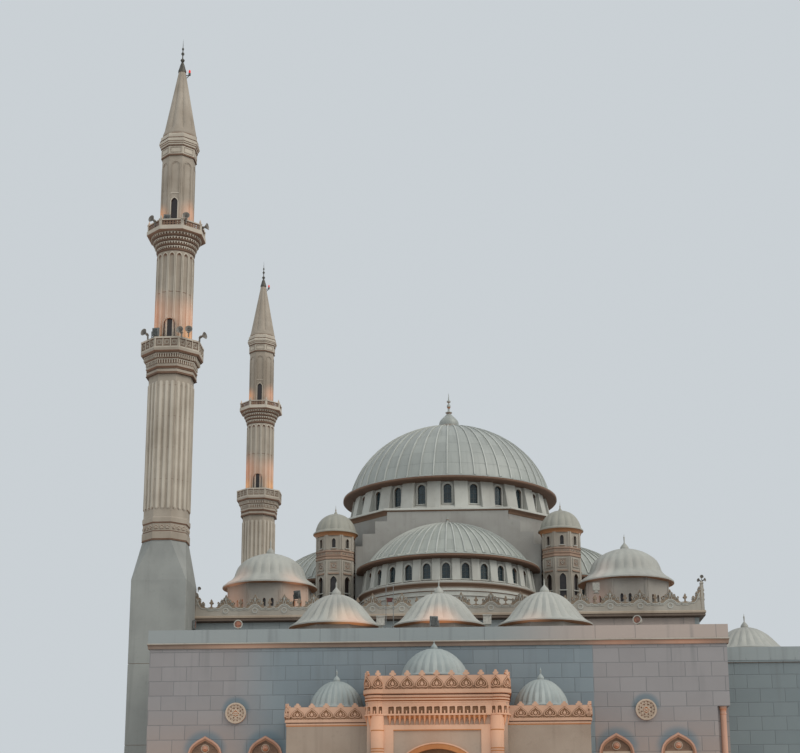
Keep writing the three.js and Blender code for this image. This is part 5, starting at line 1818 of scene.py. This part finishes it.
# PORTAL WALLS, ARCH AND COLUMNS
# The portal is peach cast stone over concrete. A raised frame stands round the plain panel with the arch,
# which has a moulding painted orange as warm shade and a carved grille painted brown as shade in its head.
# Engaged columns carry the corners.
portal_lamps = (
    ((-2.8, -32.8, 8.6), 1.7, (196, 120, 74)),
    ((0, -33.2, 8.5), 3.0, (176, 112, 74)),
    ((2.8, -32.8, 8.6), 1.7, (196, 120, 74)),
    ((-2.8, -33, 10.3), 1.6, (150, 96, 66)),
    ((2.8, -33, 10.3), 1.6, (150, 96, 66))
)
peach_stone = cast_stone(
    "portal_peach_stone", (204, 163, 137), (184, 143, 117), (190, 118, 70), 0.85, portal_lamps
)
portal_plaster = cast_stone(
    "portal_wall_stone", (162, 144, 128), (146, 127, 111), (176, 116, 74), 0.85, portal_lamps
)
# Painted shade, warmed by the lamps: the orange of the grooves, lines, fringe, rings and arch moulding.
orange_shade_moulding = cast_stone("orange_stained_moulding", (186, 122, 74), (168, 104, 62), (172, 98, 50))
# Painted shade: the brown of carved recesses, the grille and the ground of the lotus flowers.
recess_shade_brown = cast_stone("carved_recess_painted_shade", (140, 103, 75), (117, 85, 61), (112, 76, 52))
refinish(portal_plaster, "portal_walls")
portal_face, column_x, side_face, side_inner, side_outer = -32.0, 2.72, -31.1, 3.2, 7.0
portal_frame = cut_slab(
    "portal_frame", portal_face - 0.05, 0.08, block_line(-2.42, 2.42, 0.3, 8.6),
    block_line(-1.99, 1.99, 0.31, 8.36)
)
settle(portal_frame, peach_stone, slot="warm_stone")


def oval_line(half, springing, rise):
    """Outline of the portal arch from its lower left corner: upright jambs under half an oval."""
    right = arc(0, springing, half, rise, 0, math.pi / 2, 12)
    return [(-half, 0.3), (half, 0.3), *right, *[(-x, z) for x, z in reversed(right[:-1])]]


portal_orange = [slab("frame_edge", portal_face, 0.055, -2.0, 2.0, 8.34, 8.385), arch_band(
    "arch_moulding", portal_face - 0.07, 0.3, oval_line(2.0, 6.1, 1.67), oval_line(1.77, 6.1, 1.42)
)]
settle(joined("portal_arch_moulding", portal_orange), orange_shade_moulding, slot="warm_stone")
arch_bead = arch_band(
    "portal_arch_bead", portal_face - 0.09, 0.1, oval_line(2.04, 6.1, 1.71), oval_line(1.98, 6.1, 1.65)
)
settle(arch_bead, peach_stone, slot="warm_stone")
grille_holes = []
for column in range(-8, 9):
    head = 7.55 - 0.03 * abs(column) ** 1.75
    for row in range(8):
        foot = 5.72 + row * 0.24
        if foot + 0.2 < head:
            grille_holes.append(block_line(column * 0.19 - 0.06, column * 0.19 + 0.06, foot, foot + 0.18))
grille = [
    cut_slab("grille", -31.72, 0.06, arch_line(1.82, 5.5, 5.52, 7.76, 10), *grille_holes),
    block("transom", -31.8, 0.2, -1.82, 1.82, 5.4, 5.62)
]
settle(joined("portal_arch_grille", grille), recess_shade_brown, slot="warm_stone")
sleeve = [(0, 0.3), (0.36, 0.3), (0.36, 0.7), (0.32, 0.78), (0.302, 0.85)]
for ring_foot in (2.6, 4.9, 7.22, 7.36):
    sleeve += [
        (0.302, ring_foot - 0.02), (0.306, ring_foot), (0.306, ring_foot + 0.07), (0.302, ring_foot + 0.09)
    ]
sleeve += [(0.302, 7.56), (0.306, 8.3), (0.302, 8.34), (0.302, 9.0), (0, 9.0)]


def in_line_at_front(piece, front):
    """Brings every level of a turned piece forward, so that all of them touch one plumb line at the front."""
    for corner in piece.data.vertices:
        reach = math.hypot(corner.co.x, corner.co.y)
        corner.co.y += reach - front if reach > 0.1 else 0
    return piece


column = in_line_at_front(turned("portal_column", sleeve, 48), 0.302)
side_facings = [
    slab("facing", side_face, 0.012, *sorted((side * side_inner, side * side_outer)), 0.3, 8.66)
    for side in (-1, 1)
]
settle(joined("portal_side_facings", side_facings), portal_plaster, slot="warm_stone")
column_rings = joined("column_rings", [
    turned("ring", [(0.26, low), (0.31, low), (0.31, low + 0.05), (0.26, low + 0.05)], 24)
    for low in (2.62, 4.92, 7.24, 7.38, 7.5, 8.32)
])
for name, side in (("left", -1), ("right", 1)):
    settle(
        copied(column, f"portal_{name}_column", (side * column_x, portal_face + 0.012, 0)), peach_stone,
        slot="warm_stone", smooth=30
    )
    settle(copied(
        column_rings, f"portal_{name}_column_rings", (side * column_x, portal_face + 0.012, 0)
    ), orange_shade_moulding, slot="warm_stone")
drop_patterns([column, column_rings])

# PORTAL CROWN
# Over the columns the crown comes forward in rounded parts. From below it has a fringe of stalactites, a row
# of small niches, two mouldings with grooves painted orange as warm shade, and a parapet carved with lotus
# flowers.
round_x, round_y, round_radius = 2.78, -31.68, 0.5
crown_front, crest_out, parapet_thick, portal_back = -32.1, 0.06, 0.14, -28.2
row_foot, row_head, fringe_head = 9.02, 9.47, 9.04
small_width, drop_width, part_width = 0.348, 0.2262, 0.27
flower_width, flower_foot, flower_rise = 0.672, 10.22, 0.64


def crown_plan(out):
    """Plan of the crown, grown by out: straight front and sides, with a rounded part over each column."""
    radius, front = round_radius + out, crown_front - out
    start = -math.pi / 2 - math.acos((round_y - front) / radius)
    right = [*arc(round_x, round_y, radius, radius, start, 0, 12), (round_x + radius, portal_back)]
    return [*[(-x, y) for x, y in reversed(right)], *right]


def plan_slab(name, plan, low, high):
    """A slab from its plan, between two heights."""
    made = traced(name, [(x, y, low) for x, y in [*plan, plan[0]]])
    bpy.ops.mesh.edge_face_add()
    extrude(0, 0, high - low)
    close_up()
    return made


crown_light = [
    plan_slab("course", crown_plan(out), low, high)
    for out, low, high in (
        (-0.06, 9.46, 10.17), (0.0, 9.46, 9.61), (0.02, 9.61, 9.66), (0.04, 9.72, 9.79), (0.03, 9.84, 9.95),
        (0.045, 9.86, 9.93), (0.08, 10.0, 10.04), (0.115, 10.02, 10.2)
    )
]
settle(joined("portal_crown_mouldings", crown_light), peach_stone, "portal_crown", slot="warm_stone")
crown_lines = [plan_slab("line", crown_plan(out), low, high) for out, low, high in (
    (-0.03, 9.64, 9.73), (-0.02, 9.78, 9.85))]
settle(joined("portal_crown_lines", crown_lines), orange_shade_moulding, slot="warm_stone")
settle(plan_slab("portal_crown_groove", crown_plan(-0.035), 9.91, 10.01), brown_shade_stone, slot="warm_stone")
settle(plan_slab("portal_niche_ground", crown_plan(-0.035), 9.03, 9.48), recess_shade_brown, slot="warm_stone")


def wrapped(piece, radius):
    """Bends a flat piece with its face at y = 0 round a part of this radius, from the middle outwards."""
    hold(piece)
    bpy.ops.object.mode_set(mode="EDIT")
    for i in range(-5, 6):
        bpy.ops.mesh.select_all(action="SELECT")
        bpy.ops.mesh.bisect(plane_co=(i * 0.05, 0, 0), plane_no=(1, 0, 0))
    bpy.ops.object.mode_set(mode="OBJECT")
    for corner in piece.data.vertices:
        angle, reach = corner.co.x / radius, radius - corner.co.y
        corner.co.x, corner.co.y = reach * math.sin(angle), radius - reach * math.cos(angle)
    return piece


def around_part(piece, side, angle, out):
    """Sets a bent piece on the rounded part of one side, turned by angle from the front, outwards."""
    radius = round_radius + out
    shifted(shifted(piece, (0, -radius, 0)), turn=side * angle)
    return shifted(piece, (side * round_x, round_y, 0))


def small_niche(width):
    """A small round-headed niche in a light frame, with a leaf in it and a rail below."""
    half = width / 2
    frame = [
        cut_slab(
            "niche_frame", -0.04, 0.06, block_line(-half, half, row_foot, row_head),
            arch_line(half - 0.045, 9.1, 9.36, 9.43, 3)
        ),
        slab("foot_rail", 0.0, 0.07, -half, half, row_foot, 9.08),
        slab("leaf", 0.0, 0.02, -0.03, 0.03, 9.1, 9.24)
    ]
    return joined("niche_frame", frame)


def set_back(piece, share):
    """Leans a hanging piece back by a share of how far it reaches down."""
    for corner in piece.data.vertices:
        corner.co.y += (fringe_head - corner.co.z) * share
    return piece


def fringe_drop(width):
    """One piece of the fringe under the niches, with a hollow below."""
    half = width / 2
    hollow = mirrored([(-half, 8.94), (-half * 0.6, 8.86), (-half * 0.2, 8.68), (0, 8.6)])
    return set_back(cut_slab("drop", -0.02, 0.16, [*hollow, (half, fringe_head), (-half, fringe_head)]), 0.22)


def drop_point(width):
    """A hanging light point before the hollow, from the niches back to the wall."""
    half = width * 0.2
    point = mirrored([(-half, fringe_head), (-half * 0.9, 8.84), (0, 8.56)])
    return set_back(cut_slab("point", -0.05, 0.08, point), 0.2)


def lotus(width, low, rise):
    """One lotus flower of the parapet: its grooves in painted shade, and its light petals with the finial
    above.
    """
    size = width / flower_width

    def drawn(points):
        return [(x * size, low + z * rise) for x, z in points]

    def both(points):
        return drawn(mirrored(points))

    ground = [cut_slab("ground", -0.012, 0.03, both([
        (0, 0.14), (0.08, 0.08), (0.2, 0.04), (0.31, 0.2), (0.315, 0.34), (0.27, 0.5), (0.18, 0.66),
        (0.07, 0.8), (0, 0.92)
    ]))]
    ground += [
        ribbon("groove", both([
            (-0.336, 0.2 - drop), (-0.28, 0.08 - drop), (-0.17, 0.0 - drop), (-0.06, 0.04 - drop),
            (0, 0.12 - drop)
        ]), 0, 0.014, 0.03)
        for drop in (0.0, 0.11)
    ]
    lines = [
        ribbon("petal", [*both([
            (0, 0.18), (-0.08, 0.13), (-0.19, 0.12), (-0.265, 0.22), (-0.265, 0.36), (-0.22, 0.5),
            (-0.12, 0.65), (-0.05, 0.74), (0, 0.83)
        ]), *drawn([(0, 0.18)])], 0, 0.04, 0.035),
        cut_slab("heart", -0.04, 0.05, both([(0, 0.24), (0.06, 0.3), (0.07, 0.38), (0, 0.56)]))
    ]
    lines += [
        ribbon("petal", drawn([
            (hand * x, z)
            for x, z in ((0.08, 0.22), (0.16, 0.3), (0.15, 0.42), (0.09, 0.52))
        ]), 0, 0.035, 0.03)
        for hand in (-1, 1)
    ]
    tip = cut_slab("finial", -0.01, 0.1, both([
        (0.07, 0.92), (0.06, 1.0), (0.13, 1.0), (0.16, 1.07), (0.13, 1.15), (0.07, 1.17), (0.08, 1.25),
        (0.04, 1.32)
    ]))
    return joined("grooves", ground), joined("petals", [*lines, tip])


crown_parapet = plan_slab("portal_parapet", [*crown_plan(crest_out), *reversed(crown_plan(
    crest_out - parapet_thick
))], 10.18, 10.83)
crown_niches, crown_drops, crown_points = [
    [shifted(repeated(make(width), count, width), (0, crown_front, 0))]
    for make, width, count in (
        (small_niche, small_width, 13), (fringe_drop, drop_width, 20), (drop_point, drop_width, 20)
    )
]
flowers = lotus(flower_width, flower_foot, flower_rise)
crown_grounds, crown_flowers = [
    [shifted(repeated(copied(pattern, "row"), 7, flower_width), (0, crown_front - crest_out, 0))]
    for pattern in flowers
]
for side in (-1, 1):
    crown_niches.append(slab(
        "post", crown_front, 0.04,
        *sorted((side * 2.26, side * 2.5)), row_foot, row_head
    ))
    for i in range(4):
        for make, row in (
            (small_niche, crown_niches), (fringe_drop, crown_drops), (drop_point, crown_points)
        ):
            row.append(around_part(wrapped(make(part_width), round_radius), side, -24 + 31.5 * i, 0))
    for angle in (-9.6, 51):
        for pattern, row in zip(lotus(0.57, flower_foot, flower_rise), (crown_grounds, crown_flowers)):
            row.append(around_part(wrapped(pattern, round_radius + crest_out), side, angle, crest_out))
    for pattern, row in zip(flowers, (crown_grounds, crown_flowers)):
        along = repeated(copied(pattern, "row"), 5, flower_width)
        row.append(shifted(along, (side * (round_x + round_radius + crest_out), -29.92, 0), side * 90))
    along = repeated(small_niche(small_width), 10, small_width)
    crown_niches.append(shifted(along, (side * (round_x + round_radius), -29.95, 0), side * 90))
drop_patterns(flowers)
settle(crown_parapet, peach_stone, slot="warm_stone")
for name, pieces, finish in (
    ("portal_parapet_flowers", crown_flowers, peach_stone),
    ("portal_parapet_grounds", crown_grounds, recess_shade_brown),
    ("portal_niche_band", [*crown_niches, *crown_points], peach_stone),
    ("portal_fringe", crown_drops, orange_shade_moulding),
):
    settle(joined(name, pieces), finish, slot="warm_stone")
capital = in_line_at_front(turned("capital", [
    (0, 8.3), (0.29, 8.3), (0.29, 8.5), (0.33, 8.66), (0.41, 8.86), (0.5, 9.04), (0, 9.04)
], 32), round_radius)
for name, side in (("left", -1), ("right", 1)):
    settle(
        copied(capital, f"portal_{name}_capital", (side * round_x, round_y, 0)), peach_stone,
        slot="warm_stone", smooth=30
    )
drop_patterns([capital])

# PORTAL SIDE PARAPETS
# The lower side parts of the portal end in a smaller parapet with the same lotus flowers, over a light
# fillet, a groove painted dark as shade and a thin moulding painted orange as warm shade.
side_light, side_lines, side_grooves, side_grounds, side_flowers = [], [], [], [], []
parapet_out = 0.05


def side_plan(side, out):
    """Plan of one side part, grown by out, from the crown to the outer corner and back to the porch."""
    inner, outer, front = side * side_inner, side * (side_outer + out), side_face - out
    return [(inner, front), (outer, front), (outer, portal_back), (inner, portal_back)]


for name, side in (("left", -1), ("right", 1)):
    plan = [*side_plan(side, parapet_out)[:3], *reversed(side_plan(side, parapet_out - parapet_thick)[:3])]
    crest = plan_slab(f"portal_{name}_parapet", plan, 8.9, 9.53)
    settle(crest, peach_stone, f"portal_{name}_crest", slot="warm_stone")
    side_light += [plan_slab("course", side_plan(side, out), low, high) for out, low, high in (
        (0.07, 8.83, 8.96), (0.03, 8.7, 8.78))]
    side_lines.append(plan_slab("line", side_plan(side, 0.02), 8.65, 8.71))
    side_grooves.append(plan_slab("groove", side_plan(side, 0.01), 8.77, 8.84))
    ground, lines = lotus(0.667, 8.98, 0.55)
    for pattern, rows in ((ground, side_grounds), (lines, side_flowers)):
        rows.append(shifted(repeated(copied(pattern, "row"), 5, 0.667), (side * 5.155, -31.15, 0)))
        rows.append(shifted(repeated(copied(pattern, "row"), 4, 0.667), (side * 7.05, -29.66, 0), side * 90))
    narrow = lotus(0.24, 8.98, 0.55)
    for pattern, rows in zip(narrow, (side_grounds, side_flowers)):
        rows.append(shifted(copied(pattern, "corner"), (side * 6.93, -31.15, 0)))
        rows.append(shifted(copied(pattern, "corner"), (side * 7.05, -31.08, 0), side * 90))
    drop_patterns([ground, lines, *narrow])
for name, pieces, finish in (
    ("portal_side_courses", side_light, peach_stone),
    ("portal_side_lines", side_lines, orange_shade_moulding),
    ("portal_side_grooves", side_grooves, brown_shade_stone),
    ("portal_side_grounds", side_grounds, recess_shade_brown),
    ("portal_side_flowers", side_flowers, peach_stone),
):
    settle(joined(name, pieces), finish, slot="warm_stone")

# LAMPS, LOUDSPEAKERS AND POLES
# Floodlights in grey painted housings stand on the roofs, rails and drums, and horn loudspeakers of grey
# plastic are strapped to the balcony rails and the ends of the cresting. Two thin poles rise from the porch.
housing_grey, horn_plastic, lamp_white, red_paint = [
    smooth_finish(name, light, dark, (0.09, 4), (0.35, 0.75), (0.35, 0.65), relief=0.002)
    for name, light, dark in (
        ("grey_housing_paint", (118, 120, 118), (88, 88, 86)),
        ("horn_plastic", (132, 126, 118), (98, 92, 86)),
        ("white_housing_paint", (172, 168, 158), (140, 138, 130)),
        ("dark_red_paint", (96, 44, 36), (66, 32, 28))
    )
]
amber_glass = smooth_finish(
    "amber_lamp_glass", (140, 92, 70), (92, 60, 48), (0.12, 2), (0.35, 0.7), (0.2, 0.4), shine=0.08
)

horn = turned("horn", [
    (0, -0.02), (0.06, -0.02), (0.075, 0.02), (0.075, 0.1), (0.05, 0.13), (0.07, 0.17), (0.12, 0.24),
    (0.2, 0.32), (0.215, 0.34), (0.2, 0.35), (0.11, 0.26), (0.05, 0.18), (0.03, 0.24), (0, 0.25)
], 16)
horn = joined("horn", [
    shifted(horn, lean=82), slab("strap", 0.05, 0.05, -0.03, 0.03, -0.3, 0.02),
    slab("bracket", 0.02, 0.03, -0.09, 0.09, -0.06, -0.03)
])
rail_horns = [
    copied(horn, "horn", (x, y, z), turn)
    for x, y, z, turn in (
        (-14.47, -19.45, 32.34, 12), (-14.87, -19.5, 32.3, -8), (-16.87, -19.4, 32.24, -30),
        (-13.95, -18.6, 32.3, 65), (-14.85, -19.35, 39.42, 10), (-16.75, -19.1, 39.4, -30),
        (-14.1, -18.2, 39.3, 80)
    )
]
for corner in horn.data.vertices:
    corner.co *= 0.5
post_horns = [
    copied(horn, "horn", (x, y, z), turn)
    for x, y, z, turn in (
        (-14.02, -16.5, 17.86, 30), (14.4, -16.5, 18.16, 0), (14.46, -16.46, 18.0, 50),
        (14.34, -16.46, 17.98, -50)
    )
]
settle(joined("rail_loudspeakers", rail_horns), horn_plastic, slot="minaret_stone", smooth=35)
settle(joined("cresting_loudspeakers", post_horns), horn_plastic, smooth=35)
drop_patterns([horn])

drum_body = turned("drum_body", [
    (0, -0.36), (0.12, -0.36), (0.17, -0.32), (0.185, -0.26), (0.185, -0.2), (0.2, -0.19), (0.2, -0.16),
    (0.185, -0.15), (0.185, -0.04), (0.22, -0.02), (0.22, 0.02), (0.18, 0.02), (0.17, -0.03), (0, -0.03)
], 24)
drum_body = joined("drum_body", [
    shifted(drum_body, lean=84), slab("foot", 0.12, 0.03, -0.03, 0.03, -0.3, -0.1),
    slab("plate", 0.12, 0.1, -0.12, 0.12, -0.3, -0.27)
])
drum_glass = shifted(turned("drum_glass", [
    (0, -0.04), (0.175, -0.04), (0.17, -0.015), (0.1, 0.0), (0, 0.005)
], 24), lean=84)
flood_body = joined("flood_body", [
    cut_slab(
        "rim", -0.07, 0.1, block_line(-0.2, 0.2, -0.25, 0.25), block_line(-0.165, 0.165, -0.215, 0.215)
    ),
    block("back", 0.0, 0.06, -0.19, 0.19, -0.24, 0.24),
    *[block("fin", 0.05, 0.09, x - 0.008, x + 0.008, -0.2, 0.2) for x in (-0.14, -0.07, 0, 0.07, 0.14)],
    slab("stirrup", 0.05, 0.02, -0.235, -0.205, -0.33, 0.03),
    slab("stirrup", 0.05, 0.02, 0.205, 0.235, -0.33, 0.03),
    slab("stirrup", 0.05, 0.02, -0.235, 0.235, -0.35, -0.32)
])
flood_glass = block("flood_glass", -0.045, 0.02, -0.17, 0.17, -0.22, 0.22)
box_body = joined("box_body", [
    block("case", -0.1, 0.24, -0.2, 0.2, -0.22, 0.24), block("hood", -0.16, 0.1, -0.22, 0.22, 0.2, 0.25),
    slab("foot", 0.1, 0.06, -0.1, 0.1, -0.36, -0.2), slab("plate", 0.1, 0.16, -0.16, 0.16, -0.38, -0.34)])
lamps = {"drum": [], "drum_lit": [], "flood": [], "flood_lit": [], "box": []}
for kind, x, y, z, turn, lean in (
    ("drum", -9.85, -28.02, 13.96, 6, 0), ("drum", 9.6, -28.02, 13.96, -20, 0),
    ("flood", -0.23, -28.0, 14.0, 195, 10), ("box", -2.85, -27.95, 14.04, 0, 0),
    ("box", 2.36, -27.95, 14.04, 0, 0), ("flood", -8.75, -13.25, 18.06, 160, -14),
    ("box", 8.75, -13.2, 18.3, 180, 0), ("flood", -16.38, -19.45, 32.36, 170, 0),
    ("flood", -16.02, -19.2, 39.5, 190, 0), ("flood", -14.05, -17.2, 15.72, 90, 0)
):
    body, glass = {
        "drum": (drum_body, drum_glass), "flood": (flood_body, flood_glass), "box": (box_body, None)
    }[kind]
    lamps[kind].append(shifted(copied(body, kind), (x, y, z), turn, lean))
    if glass:
        lamps[kind + "_lit"].append(shifted(copied(glass, kind), (x, y, z), turn, lean))
for kind, finish in (
    ("drum", lamp_white), ("drum_lit", amber_glass), ("flood", housing_grey), ("flood_lit", amber_glass),
    ("box", lamp_white)
):
    settle(joined(f"roof_lamps_{kind}", lamps[kind]), finish)
drop_patterns([drum_body, drum_glass, flood_body, flood_glass, box_body])
poles = [
    shifted(turned("pole", [
        (0, 13.6), (0.06, 13.6), (0.06, 13.7), (0.022, 13.74), (0.02, 15.0), (0.014, 15.8), (0, 15.84)
    ], 10), (x, -28.0, 0))
    for x in (-2.58, -2.22)
]
settle(joined("porch_poles", poles), housing_grey)
pole_box = joined("porch_pole_box", [
    block("case", -28.08, 0.14, -2.53, -2.27, 14.98, 15.14),
    block("lid", -28.1, 0.18, -2.55, -2.25, 15.13, 15.17)
])
settle(pole_box, red_paint)
